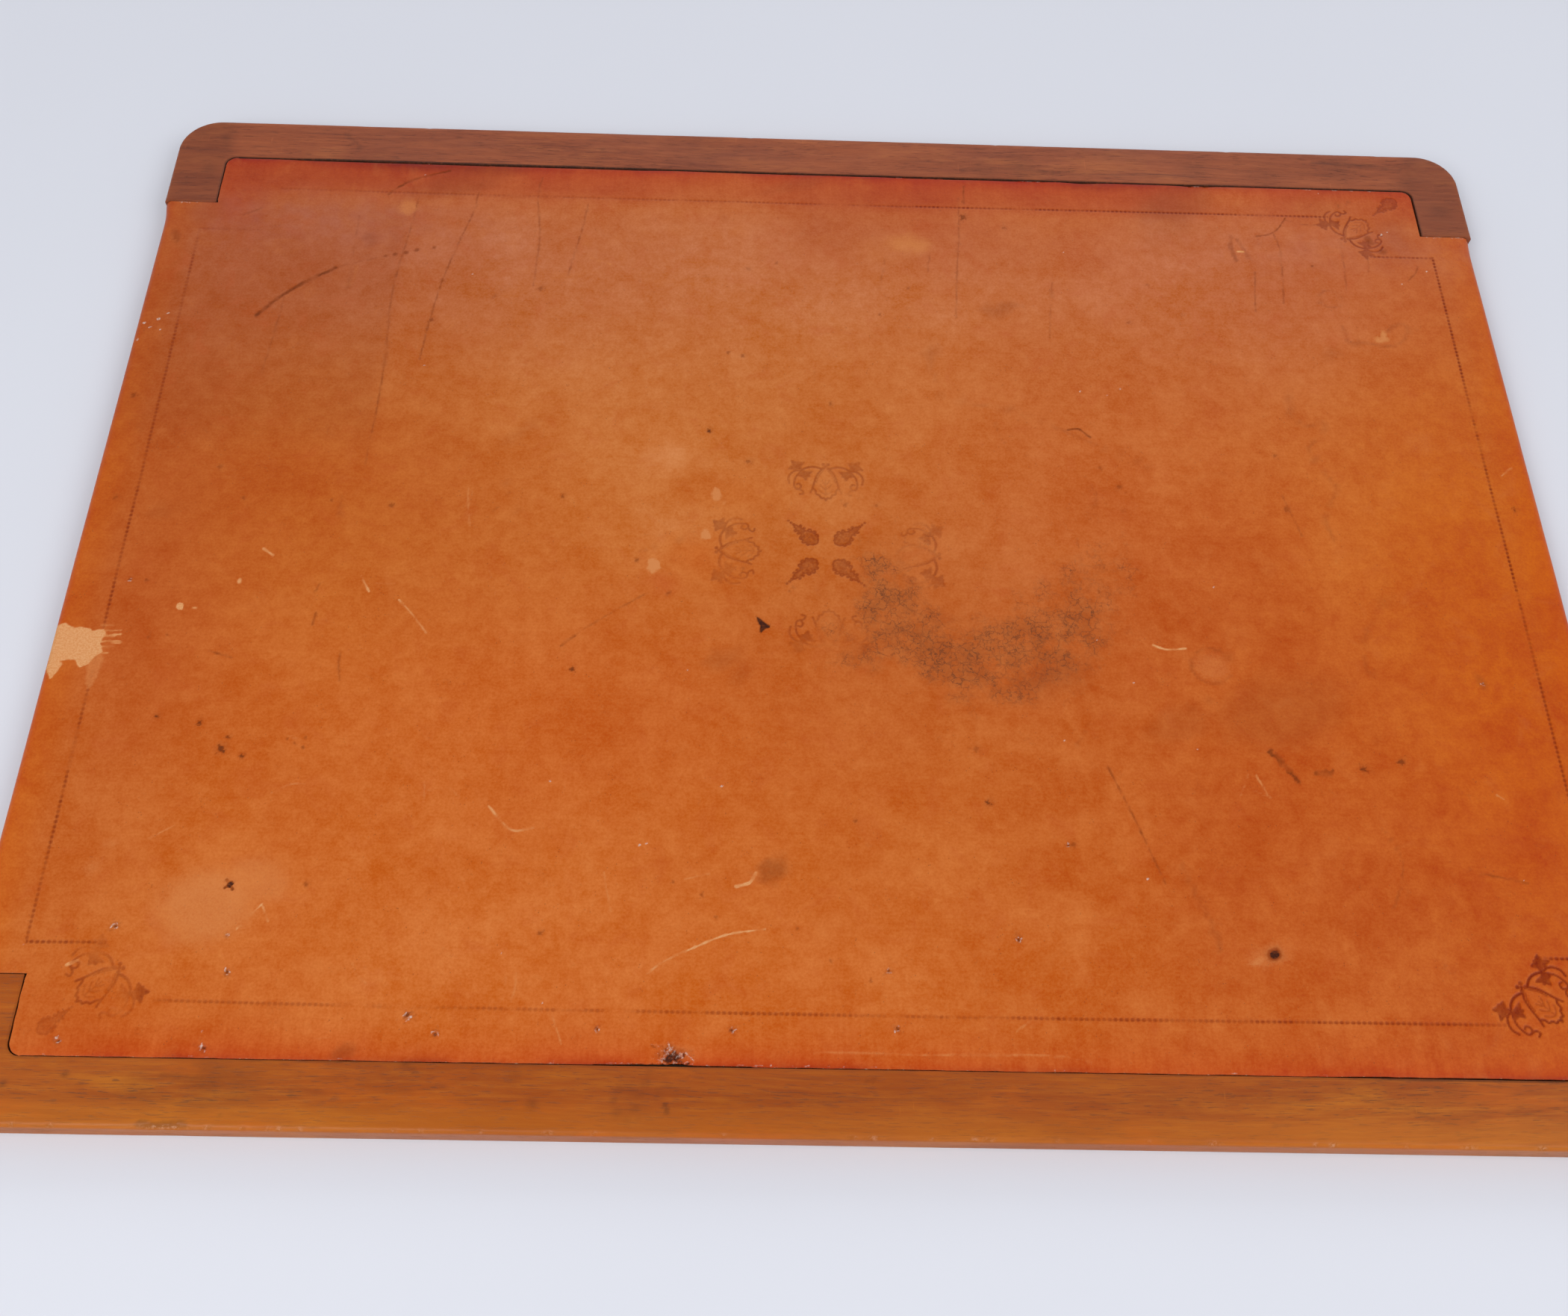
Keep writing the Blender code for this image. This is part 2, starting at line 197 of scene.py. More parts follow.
def path_distance(x, y, path):
    nearest = np.full(x.shape, 1e9)
    for start, run in zip(path, path[1:] - path[:-1]):
        from_x, from_y = x - start[0], y - start[1]
        t = np.clip((from_x * run[0] + from_y * run[1]) / max(run @ run, 1e-12), 0, 1)
        nearest = np.minimum(nearest, np.hypot(from_x - t * run[0], from_y - t * run[1]))
    return nearest


def stroke(field, points, width, amount, soft, ragged, seed, depth=0.0):
    """A ragged, broken line; soft and ragged are in mm."""
    path = smooth_path(points)
    win, x, y = window(path.min(0), path.max(0), width / 2 + soft + 1.5 + ragged)
    away = path_distance(x, y, path) + ragged * noise(x / 2.3, y / 2.3, seed)
    mark = ease(width / 2 + soft, max(width / 2 - soft, 0.0), away)
    mark = mark * np.clip(0.75 + 0.5 * noise(x / 5.1, y / 5.1, seed + 7), 0, 1)
    press(field, win, mark, amount, depth)


def blob(field, x0, y0, reach_x, reach_y, amount, soft, ragged, angle, seed, depth=0.0, cells=4.0):
    """A filled ellipse; ragged is a share of its radius, cells its lumps across."""
    small, large = min(reach_x, reach_y), max(reach_x, reach_y)
    win, x, y = window((x0, y0), (x0, y0), large * (1 + ragged) + soft + 1.5)
    from_x, from_y = x - x0, y - y0
    cos, sin = math.cos(math.radians(angle)), math.sin(math.radians(angle))
    away = small * np.hypot((from_x * cos + from_y * sin) / reach_x,
                            (-from_x * sin + from_y * cos) / reach_y)
    away = away * (1 + ragged * clouds(x, y, max(large * 2.0 / cells, 1.0), seed))
    press(field, win, ease(small + soft, small - soft, away), amount, depth)


def patch(field, amount, soft, ragged, seed, depth, cells, *points):
    """A filled shape with straight-ish sides, its edge torn by ragged mm."""
    corners = np.reshape(points, (-1, 2)).astype(float)
    win, x, y = window(corners.min(0), corners.max(0), soft + ragged + 1.5)
    away = path_distance(x, y, np.vstack([corners, corners[:1]]))
    inside = np.zeros(x.shape, bool)
    for start, end in zip(corners, np.roll(corners, -1, 0)):
        crossing = (end[0] - start[0]) * (y - start[1]) / (end[1] - start[1] + 1e-12) + start[0]
        inside ^= ((start[1] > y) != (end[1] > y)) & (x < crossing)
    away = np.where(inside, -away, away) + ragged * clouds(x, y, cells, seed)
    press(field, win, ease(soft, -soft, away), amount, depth)


def disc_marks(x, y, discs, soft):
    """Filled discs (x, y, radius), merged."""
    mark = np.zeros(x.shape)
    for disc_x, disc_y, radius in discs:
        near = (np.abs(x - disc_x) < radius + 1.2) & (np.abs(y - disc_y) < radius + 1.2)
        away = np.hypot(x[near] - disc_x, y[near] - disc_y)
        mark[near] = np.maximum(mark[near], ease(radius + soft, radius - soft, away))
    return mark


# ------------------------------------------------------------ blind tooling
# One hand stamp, in its own frame: x runs along it, y from its spine towards
# its tip. Two vine arcs leave a small quatrefoil, each with two ivy leaves and
# a curl, and a scalloped palmette hangs between them. Each line is struck on
# both sides of x = 0: width, strength, then its points as x,y.
STAMP_LINES = [
    (1.5, 1.0, 2.9,1.9, 6.0,.6, 9.8,.1, 13.7,1.1, 17.2,3.2),
    (1.35, .9, 17.2,3.6, 21.5,3.8, 25.0,6.5, 26.6,10.6, 25.8,14.8),
    (1.2, .9, 17.6,4.4, 19.6,6.6, 21.6,10.0, 22.4,14.2, 21.9,18.4, 19.6,19.8, 17.5,17.4,
     18.9,14.8, 20.6,15.4),
    (1.2, .9, 19.9,19.6, 17.0,20.6, 15.9,23.2, 18.3,24.0),
    (1.25, .9, 2.7,2.4, 5.4,5.6, 7.0,9.5, 8.2,13.8, 9.4,18.5, 10.8,22.2),
    (.8, .6, 1.7,3.4, 4.0,6.4, 5.6,9.6, 6.6,13.4),
    (1.3, .9, 8.9,18.8, 7.3,20.6, 6.6,23.6, 4.6,24.4, 3.2,27.0, 1.2,26.8, 0.0,28.8),
    (.8, .5, .2,15.4, 1.6,13.8, 2.6,11.6),
    (.8, .5, .2,19.8, 2.2,18.0, 3.9,15.4),
    (.8, .45, .2,23.8, 2.6,22.4, 5.0,19.6),
]
STAMP_SPINE = np.array([(0, 11.5), (0, 23.5)])
# leaves of pointed lobes: heart x, y, radius, then the lobes' tips as x, y
STAMP_LEAVES = [
    (20.5, -.8, 2.6, [(15.6,-3.4), (19.4,-4.4), (24.6,-5.0), (26.8,2.6), (22.6,3.2), (17.4,3.2)]),
    (15.0, 6.6, 2.3, [(9.2,4.0), (11.2,8.6), (14.2,11.8), (19.6,8.0), (17.2,3.6)]),
]
# the half of the quatrefoil on the +x side: x, y, radius
QUATREFOIL = [(0, -.4, 1.2), (1.7, 1.3, 1.35), (1.7, -2.1, 1.35)]
half_discs = list(QUATREFOIL)
for heart_x, heart_y, radius, tips in STAMP_LEAVES:
    for x, y in tips:
        for t in np.linspace(0, 1, 9):
            half_discs.append((heart_x + (x - heart_x) * t, heart_y + (y - heart_y) * t,
                               radius * (1 - t) ** 0.75 + 0.35))
STAMP_DISCS = half_discs + [(-x, y, radius) for x, y, radius in half_discs]


def vine_stamp(x0, y0, tip_x, tip_y, amount, depth, fade, seed):
    """The tip is the direction of the stamp's +y. The impression is uneven:
    where the tool sat shallow or the wax has worn, the line nearly goes."""
    up_x, up_y = np.array([tip_x, tip_y]) / np.hypot(tip_x, tip_y)
    win, flat_x, flat_y = window((x0, y0), (x0, y0), 42)
    from_x, from_y = flat_x - x0, flat_y - y0
    x, y = from_x * -up_y + from_y * up_x, from_x * up_x + from_y * up_y
    mark = np.zeros(x.shape)
    for width, strength, *points in STAMP_LINES:
        for hand in (1, -1):
            path = smooth_path(points, 0.9) * (hand, 1)
            low, high = path.min(0) - 1.6, path.max(0) + 1.6
            near = (x > low[0]) & (x < high[0]) & (y > low[1]) & (y < high[1])
            away = path_distance(x[near], y[near], path)
            line = ease(width * 0.56 + 0.42, width * 0.56 - 0.30, away) * strength
            mark[near] = np.maximum(mark[near], line)
    mark = np.maximum(mark, ease(0.8, 0.1, path_distance(x, y, STAMP_SPINE)) * 0.45)
    # the leaves' faces took the heat unevenly
    heat = (0.80 + 0.22 * noise(x / 1.9, y / 1.9, seed + 2)).clip(0, 1)
    mark = np.maximum(mark, disc_marks(x, y, STAMP_DISCS, 0.4) * heat)
    wear = np.clip(1.0 - fade + fade * 1.6 * clouds(flat_x, flat_y, 16, seed, 2), 0.12, 1)
    press(tooling, win, mark, amount * wear, depth * (0.6 + 0.4 * wear))


# The bud stamp, x from its stalk tip towards its crown: x, y, radius. The
# second list is struck on both sides of its axis.
BUD_AXIS = [(0, 0, .9), (2.4, 0, 1.0), (4.8, .2, 1.2), (7.2, 0, 1.9), (9.6, 0, 2.6), (12, 0, 2.5),
            (14.2, 0, 2.3), (16.6, 0, 4.0), (19.4, 0, 5.2), (22.2, 0, 4.6), (24.6, 0, 2.7)]
BUD_SIDES = [(9.0, 2.7, 1.2), (12.0, 2.9, 1.1), (16.0, 4.2, 1.7), (19.2, 5.2, 1.7),
             (22.4, 4.4, 1.7), (25.0, 2.2, 1.4)]
BUD_DISCS = BUD_AXIS + BUD_SIDES + [(x, -y, radius) for x, y, radius in BUD_SIDES]
BUD_CORES = [(x, y, max(radius - 1.1, 0.3)) for x, y, radius in BUD_DISCS]
BUD_LENGTH = 26.0


def bud_stamp(x0, y0, x1, y1, amount, depth, seed):
    length = math.hypot(x1 - x0, y1 - y0)
    run_x, run_y = (x1 - x0) / length, (y1 - y0) / length
    scale = length / BUD_LENGTH
    win, x, y = window((min(x0, x1), min(y0, y1)), (max(x0, x1), max(y0, y1)), 9)
    from_x, from_y = (x - x0) / scale, (y - y0) / scale
    x, y = from_x * run_x + from_y * run_y, -from_x * run_y + from_y * run_x
    texture = 0.62 + 0.38 * noise(x / 1.15, y / 1.15, seed)
    core = disc_marks(x, y, BUD_CORES, 0.5) * (0.06 + 0.85 * (1 - texture))
    mark = disc_marks(x, y, BUD_DISCS, 0.30) * (1 - core).clip(0.25, 1)
    press(tooling, win, mark, amount, depth)


def beaded_line(x0, y0, x1, y1, amount, seed):
    """A line struck with a beaded wheel: a fine fillet with a dot every 3.4 mm."""
    win, x, y = window((min(x0, x1), min(y0, y1)), (max(x0, x1), max(y0, y1)), 2.2)
    length = math.hypot(x1 - x0, y1 - y0)
    run_x, run_y = (x1 - x0) / length, (y1 - y0) / length
    along = (x - x0) * run_x + (y - y0) * run_y
    zero = along * 0
    away = np.abs(-(x - x0) * run_y + (y - y0) * run_x + 0.22 * noise(along / 70.0, zero, seed))
    ends = ease(-0.4, 0.4, along) * ease(length + 0.4, length - 0.4, along)
    bead = 0.5 + 0.5 * np.cos(2 * math.pi * along / 3.4)
    fillet = ease(0.95, 0.1, away) * 0.46
    dots = ease(1.5, 0.55, np.hypot(away, (1 - bead) * 1.15))
    wear = 0.84 + 0.75 * clouds(along, zero, 40, seed) + 0.35 * noise(along / 6, zero, seed + 5)
    mark = np.maximum(fillet, dots) * ends * np.clip(wear, 0.10, 1.1)
    press(tooling, win, mark, amount, amount * 0.30)


# x, y, tip x, tip y, amount, depth, fade: four round the centre, four in the corners
VINE_STAMPS = [
    (.3, 71.0, 0, -1, .72, .20, .35), (-73.5, -1.2, 1, 0, .70, .20, .40),
    (77.0, -2.0, -1, 0, .50, .16, .45), (2.0, -75.5, 0, 1, .66, .18, .55),
    (421.5, -301.0, 1, -1, 1.0, .46, .05), (-421.0, -304.5, -1, -1, .92, .34, .45),
    (413.0, 304.0, 1, 1, 1.0, .32, .30), (-416.0, 304.0, -1, 1, .13, .09, .8),
]
# stalk x, y, crown x, y, amount, depth
BUD_STAMPS = [
    (-26, 24.5, -6.5, 6.5, .74, .22), (27.5, 24, 7.5, 6.5, .68, .22),
    (-26.5, -27, -7, -8, .74, .22), (26.5, -27, 6.5, -8.5, .66, .22),
    (440, 330, 460, 347, .62, .20), (-443, -328, -459, -343, .38, .18),
    (444, -328, 461, -343, .7, .24), (-440, 330, -458, 346, .10, .06),
]
# start x, y, end x, y, amount: back, front, left, right, then the short steps
BEADED_LINES = [
    (-430, 324.6, -150, 324.5, .34), (-150, 324.5, 70, 325.0, .48), (70, 325.0, 403, 326.8, .85),
    (-397, -323.4, -160, -325.0, .42), (-160, -325.0, 90, -325.2, .54),
    (90, -325.2, 407, -324.2, .66), (-482.8, 281.0, -480.4, 60, .55),
    (-480.4, 60, -479.2, -289, .72), (479.6, 287.0, 479.6, -20, .86),
    (479.6, -20, 480.2, -283, .68), (-482.8, 281.0, -436, 281.0, .28),
    (430, 285.6, 479.6, 285.6, .95), (-479.2, -289.0, -432, -288.6, .72),
    (433.5, -282.6, 480.2, -282.8, .98),
]
for k, entry in enumerate(VINE_STAMPS):
    vine_stamp(*entry, seed=11 + 10 * k)
for k, entry in enumerate(BUD_STAMPS):
    bud_stamp(*entry, seed=91 + k)
for k, entry in enumerate(BEADED_LINES):
    beaded_line(*entry, seed=101 + k)

# -------------------------------------------------------------- wear marks
# ink spots, holes and dents: x, y, radius, darkness
SPOTS = [
    (-432,-138,1.5,.8), (-404,-142,1.7,.8), (-387,-160,2.9,.8), (-384,-152,1.5,.7),
    (-373,-165,1.5,.75), (-346,-152,1.1,.5), (-341,-155,1.1,.55), (-335,-158,1.2,.6),
    (-335,-151,.9,.5), (-84,100,1.9,.85), (-55,74,2.2,.55), (-130,-11,1.4,.6), (-185,40,1.6,.65),
    (103,-187,1.9,.8), (18,-201,1.6,.5), (97,-149,2.3,.4), (-319,-250,1.4,.6), (-174,-278,1.4,.6),
    (-77,-252,1.2,.55), (-95,-244,1.2,.5), (-68,-266,1.0,.5), (-18,-272,1.1,.5), (26,-304,1.3,.5),
    (2,-292,1.2,.5), (155,-214,1.8,.5), (110,315,2.6,.7), (111,331,1.2,.5), (142,305,1.8,.5),
    (64,240,1.3,.4), (42,213,1.3,.45), (-59,255,2.0,.35), (-216,230,2.2,.5), (-295,196,2.0,.6),
    (-291,235,1.6,.6), (328,44,2.2,.5), (326,91,1.6,.5), (198,76,1.5,.45), (210,60,1.8,.5),
    (232,212,1.8,.4), (4,127,1.5,.5), (349,-158,2.6,.75), (375,-152,2.2,.7), (382,274,1.4,.6),
    (413,339,1.4,.45), (422,343,1.6,.35), (-500,119,2.0,.6), (-61,170,1.6,.6), (-72,173,1.3,.5),
    (-303,29,1.6,.6), (-345,32,1.3,.5), (-406,32,1.4,.5), (-427,58,1.6,.45), (-494,30,1.8,.5),
    (493,48,1.8,.7), (-168,-97,1.7,.75), (-107,-37,1.4,.5), (-57,-16,1.6,.3), (14,39,1.7,.4),
    (11,43,1.2,.3), (36,39,1.5,.4), (-22,-30,1.4,.35), (-25,-33,1.2,.35), (-37,262,1.2,.4),
    (188,-28,1.4,.5), (173,-36,1.2,.5), (-459,-36,1.3,.5), (-449,-80,1.2,.4), (-437,-78,1.2,.45),
    (250,250,1.3,.35), (-250,221,1.8,.35),
]
for k, (x, y, radius, amount) in enumerate(SPOTS):
    radius = radius * 0.96
    squash = 0.62 + 0.4 * ((k * 37) % 10) / 10
    blob(dark, x, y, radius, radius * squash, amount, soft=0.5, ragged=0.85,
         angle=(k * 53) % 180, seed=200 + k % 9, depth=0.12 * amount, cells=5)
    if radius > 1.3:      # a faint halo
        blob(dark, x + 0.4 * radius, y + 0.3 * radius, radius * 1.9, radius * 1.5, 0.20 * amount,
             soft=1.3, ragged=0.6, angle=(k * 71) % 180, seed=210 + k % 7)

# punctures: x, y, radius; all but the first have a torn white lip
HOLES = [
    (-365, -251, 2.3), (-429, -278, 2.3), (-357, -306, 2.3), (-361, -283, 1.3),
    (-363, -351, 2.7), (-247, -330, 3.0), (-230, -340, 2.0), (-136, -336, 1.8),
    (-56, -335, 2.1), (-447, -348, 2.2), (37, -298, 1.8), (117, -276, 2.2),
    (41, -333, 2.2), (-470, -36, 1.5), (152, -214, 1.6), (441, -93, 1.8),
]
for k, (x, y, radius) in enumerate(HOLES):
    turn = k * 2.4
    blob(dark, x, y, radius * 1.15, radius * 0.95, 0.30, soft=0.8, ragged=0.8, angle=k * 41,
         seed=219 + k, depth=0.1, cells=6)
    blob(dark, x - 0.30 * radius * math.cos(turn), y - 0.30 * radius * math.sin(turn),
         radius * 0.55, radius * 0.42, 0.80, soft=0.4, ragged=0.6, angle=k * 41,
         seed=220 + k, depth=0.6, cells=6)
    for flap in range(3 if k else 0):
        bearing = turn + flap * 2.3 + 0.9 * math.sin(k * 1.3 + flap)
        size = 0.45 + 0.55 * math.sin(k * 1.7 + flap * 2.3) ** 2
        out = radius * (0.45 + 0.5 * math.cos(k + 2 * flap) ** 2)
        blob(white, x + out * math.cos(bearing), y + out * math.sin(bearing),
             radius * 0.60 * size + 0.3, radius * 0.17 + 0.15, 0.26 + 0.30 * size, soft=0.35,
             ragged=0.7, angle=math.degrees(bearing) + 50 + 40 * flap, seed=240 + k + flap,
             depth=-0.16)
for angle in (38, 128):   # the first is cross-shaped
    x, y, _ = HOLES[0]
    cos, sin = math.cos(math.radians(angle)), math.sin(math.radians(angle))
    stroke(dark, (x - 3.6 * cos, y - 3.6 * sin, x + 3.4 * cos, y + 3.4 * sin),
           width=2.5, amount=1.0, soft=0.5, ragged=0.6, seed=270)

TEAR_X, TEAR_Y = -91.0, -350.5    # a torn place on the front edge
# field, x, y, reach x, reach y, amount, soft, ragged, angle, seed, depth, cells
BLOBS = [
    # the middle of the cross-shaped hole
    (dark, -365, -251, 2.3, 1.9, 1.0, .6, .5, 20, 271, .3),
    # the cigarette burn, charred and sunk, with a browned lip and a bleached rim
    (pale, 271, -283, 13, 8, .30, 4, .4, 15, 301),
    (pale, 262, -288, 6, 2, .5, 1.2, .4, 20, 302),
    (dark, 273, -283, 5.4, 4.4, .62, 1.8, .2, 30, 303),
    (dark, 273, -283, 3.5, 2.7, 1.0, .9, .25, 30, 304, .95),
    # the ground of the tear
    (pale, TEAR_X + 2, TEAR_Y + 1, 15, 5.5, .24, 2.5, .5, 0, 529, 0, 8),
    (dark, TEAR_X, TEAR_Y + .5, 8.0, 5.2, .42, 2.0, .5, 0, 531, .40, 7),
]
for entry in BLOBS:
    blob(*entry)

# field, amount, soft, ragged, seed, depth, cells, then the outline as x,y
PATCHES = [
    # a flicked wedge of ink
    (dark, 1.0, .55, .35, 311, 0, 3, -47.4,-53.2, -45.0,-54.6, -41.0,-58.2, -37.8,-60.4,
     -37.6,-62.2, -40.6,-63.2, -43.6,-66.8, -44.8,-65.6, -44.4,-60.8, -46.6,-57.0),
    # finish rubbed or flaked through to the bare hide, at the left edge
    (pale, 1.0, .7, 1.6, 441, 0, 5, -513,-72, -505,-70.5, -499,-74, -494,-73.5, -487,-76,
     -479,-74.5, -477,-79, -479,-86, -476,-92, -481,-95, -484,-101, -489,-104, -493,-99,
     -499,-98, -505,-100, -513,-97),
    (pale, .92, .7, 1.0, 443, 0, 4, -512,-97, -504,-98, -500,-102, -503,-108, -506,-113,
     -509,-108, -512,-104),
    (pale, .40, 1.2, 1.6, 444, 0, 4, -486,-96, -478,-92, -474,-98, -476,-112, -480,-120,
     -484,-112),
    # three small flakes of finish, gone cleanly, left of the centre ornament
    (pale, .62, .6, .9, 471, 0, 4, -122.5,-10, -118.8,-8.8, -114.5,-12, -113,-17.5, -116.3,-20,
     -119.3,-22, -121.3,-19.5, -123.5,-18),
    (pale, .60, .6, .8, 472, 0, 4, -87,12.5, -85,16.3, -82,16.3, -80.5,12.5, -79.5,8, -83.8,7,
     -87,8.5),
    (pale, .58, .6, .8, 473, 0, 4, -81.6,45, -78.4,51.5, -74.9,49.6, -72.9,43.8, -74.9,39.2,
     -79.2,39.6),
    # the hole in the tear
    (dark, .95, .6, 1.2, 532, .6, 3, -97,-353, -93,-350.5, -90,-348.2, -87,-349, -85.5,-352,
     -88,-354.5, -94,-355),
]
for entry in PATCHES:
    patch(*entry)

# width, darkness, soft, ragged, seed, depth, then points as x,y
INK_STROKES = [
    (4.0, .72, .8, 1.5, 312, 0, 290,-147, 295,-153),
    (3.8, .72, .8, 1.5, 313, 0, 296,-155, 305,-167),
    (3.6, .62, .8, 1.6, 314, 0, 318,-162, 328,-161),
    # one long curved drag mark
    (3.2, .74, .7, .6, 371, .12, -425,196, -412,213, -395,229, -373,245),
    (1.4, .28, .6, .3, 372, 0, -373,245, -358,251, -343,256),
]
for width, amount, soft, ragged, seed, depth, *points in INK_STROKES:
    stroke(dark, points, width, amount, soft, ragged, seed, depth)
# the drag mark ends in a row of skips
for x, y, radius in ((-337, 258, 1.5), (-330, 260, 1.9), (-322, 262, 2.1), (-314, 265, 2.2),
                     (-301, 268, 1.6)):
    blob(dark, x, y, radius, radius * 0.8, amount=0.6, soft=0.6, ragged=0.3, angle=20,
         seed=375, depth=0.08)

# scratches and scuffs that read dark: width, darkness, depth, then points as x,y
DARK_LINES = [
    (1.0, .55, .10, 182,-160, 196,-196, 211,-239),
    (1.1, .30, .04, 354,-199, 363,-218, 360,-234, 353,-251),
    (1.3, .45, .06, 412,-228, 440,-234),
    (1.4, .75, .08, 177,109, 185,110, 193,103),
    (.9, .38, .05, -177,-80, -168,-71, -143,-52, -120,-36),
    (1.5, .5, .05, -177,-80, -168,-72),
    (1.3, .55, .05, -408,-89, -392,-94),
    (1.1, .42, .05, -322,-87, -321,-98, -319,-109),
    (1.1, .42, .10, -272,335, -275,305, -282,277, -291,235, -296,196, -299,159),
    (1.2, .38, .10, -319,320, -321,290, -326,244, -327,210, -325,172, -324,130, -325,92),
    (1.1, .34, .08, -224,345, -226,325, -221,280, -222,232),
    (1.1, .40, .08, -186,318, -189,290, -193,265, -197,240),
    (1.0, .24, .06, -363,300, -362,271, -361,224),
    (1.0, .26, .06, -407,220, -409,180, -412,144),
    (1.1, .34, .07, 107,335, 106,300, 103,262, 100,212),
    (1.0, .25, .05, 176,250, 173,225, 170,195),
    (1.1, .5, .06, 112,349, 111,330),
    (1.0, .35, .05, 82,275, 80,258),
    (.9, .22, .04, 47,270, 42,235),
    (1.1, .36, .06, 336,266, 333,245, 331,227),
    (1.2, .55, .10, 342,304, 352,306, 360,312, 368,324),
    (1.0, .38, .06, 356,308, 359,290, 357,262, 354,235),
    (.9, .35, .05, 368,322, 380,318, 393,318),
    (1.0, .32, .05, 409,300, 407,270, 405,248),
    (1.0, .32, .05, 428,287, 426,270),
    (2.0, .52, .08, -343,322, -336,330, -326,338, -312,344, -298,349),
    (1.6, .35, .05, -452,296, -447,299, -440,303),
    (.9, .2, .03, -229,62, -222,40, -215,28),
    (1.0, .34, .04, 193,55, 192,42),
    (1.0, .32, .04, 327,55, 331,40, 336,22),
    (.9, .24, .04, 176,20, 178,-6, 182,-36),
    (.9, .24, .03, 122,120, 128,100, 136,84),
    (.8, .2, .03, 160,-150, 172,-130),
    (2.6, .22, .03, 222,-225, 229,-245, 236,-262, 241,-282),
    (.9, .2, .03, -339,36, -338,20),
    (1.1, .4, .03, -343,-36, -345,-42),
    (1.1, .45, .04, -342,-58, -343,-68),
    (1.2, .16, 0, -100,6, -112,2, -128,-4),
    (1.3, .42, .05, 456,262, 463,270, 466,277),
    (1.0, .18, .03, -325,92, -326,60),
    (1.0, .28, .03, -228,30, -240,22),
    (3.2, .35, .05, 322,302, 320,292, 323,278),
    (2.6, .32, .04, 326,300, 333,281),
]
for k, (width, amount, depth, *points) in enumerate(DARK_LINES):
    gain = 1.3 if points[1] > 200 else 1.12     # those at the back read darker
    stroke(dark, points, width * 1.08, amount * gain, soft=0.5, ragged=0.45, seed=320 + k,
           depth=depth)

# soft dark smudges: x, y, reach x, reach y, darkness
SMUDGES = [
    (-34,-235, 9.5,7.5, .45), (-70,-87, 13,7, .22), (-54,-94, 9,6, .16), (135,222, 13,5, .26),
    (-499,272, 3,7, .45), (440,-92, 3,5, .30), (240,-115, 7,2.5, .24), (252,-108, 2.5,6, .2),
    (285,340, 30,18, .18), (-285,338, 34,15, .26), (-20,345, 24,6, .18), (150,-95, 26,14, .16),
    (300,-118, 44,22, .17), (232,-128, 22,12, .14), (-352,275, 5,6, .25), (-460,20, 9,6, .12),
    (-282,-352, 8,4, .4), (-480,300, 14,12, .16), (432,303, 3.2,5.5, .55), (441,291, 3.2,2.4, .5),
]
for x, y, reach_x, reach_y, amount in SMUDGES:
    blob(dark, x, y, reach_x, reach_y, amount, soft=min(reach_x, reach_y) * 0.45, ragged=0.35,
         angle=20, seed=int(390 + abs(x) % 7))

# stains left by damp, wandering lines: width, darkness, then points as x,y
TIDES = [
    (2.4, .26, 343,148, 345,127, 356,118, 366,121, 364,110, 353,98, 360,78, 366,62, 356,38, 358,18),
    (2.2, .20, 372,14, 387,-10, 386,-30, 369,-54, 364,-85, 380,-92, 388,-98, 380,-111, 367,-119,
     360,-137),
    (1.8, .22, 79,186, 79,168, 82,150, 86,138, 111,130, 138,126, 157,117, 190,100, 222,84, 236,72),
    (2.4, .30, 396,214, 398,200, 412,198, 430,196, 441,202, 446,214, 440,218, 430,210),
    (1.6, .10, -76,300, -82,320, -70,326, -52,318, -48,300, -58,292, -74,296),
    (2.2, .12, -256,70, -232,84, -206,106, -190,118),
    (2.0, .16, 388,192, 376,178, 366,160, 352,152),
    (1.8, .08, 300,30, 296,12, 304,-8, 296,-24),
    (1.6, .09, -70,220, -62,205, -40,204, -20,214),
]
for k, (width, amount, *points) in enumerate(TIDES):
    stroke(dark, points, width, amount, soft=1.1, ragged=0.6, seed=410 + k)

# rings: field, x, y, radius, width, amount, seed
for field, x, y, radius, width, amount, seed in (
        (dark, 259, -84, 14, 1.7, .34, 421), (dark, 391, 241, 9, 1.6, .30, 422),
        (pale, 436, 105, 13, 2.5, .12, 423)):
    circle = [(x + radius * math.cos(turn), y + radius * 0.96 * math.sin(turn))
              for turn in np.linspace(0, 2 * math.pi, 25)]
    stroke(field, circle, width, amount, soft=0.8, ragged=0.5, seed=seed)

# the finish has crazed in an arc to the right of the centre ornament:
# x, y, reach x, reach y, amount
CRAZING = [
    (30,4, 12,16, .30), (36,-20, 14,20, .70), (42,-46, 20,24, .95), (64,-68, 28,22, 1.0),
    (100,-80, 38,28, 1.0), (138,-78, 34,30, 1.0), (168,-54, 28,30, .80), (184,-24, 24,28, .45),
    (26,-82, 20,14, .62), (10,-66, 18,20, .32), (200,-6, 28,28, .30), (150,-34, 26,24, .38),
    (-6,-30, 16,14, .22), (190,34, 34,32, .22), (60,20, 22,40, .20), (196,70, 30,26, .13),
]
for x, y, reach_x, reach_y, amount in CRAZING:
    blob(crazed, x, y, reach_x, reach_y, amount, soft=min(reach_x, reach_y) * 0.8, ragged=0.4,
         angle=0, seed=int(430 + abs(x) % 5), cells=3)

# short level scrapes beside the rubbed place: middle x, y, length
for k, (x, y, length) in enumerate((
        (-477, -72, 9), (-474, -76, 12), (-475, -80, 8), (-473, -84, 13), (-475, -88, 9),
        (-471, -79, 7), (-469, -85, 6), (-476, -93, 6))):
    stroke(pale, (x - length / 2, y, x + length / 2, y + 0.6), width=1.5, amount=0.85, soft=0.5,
           ragged=0.5, seed=446 + k)

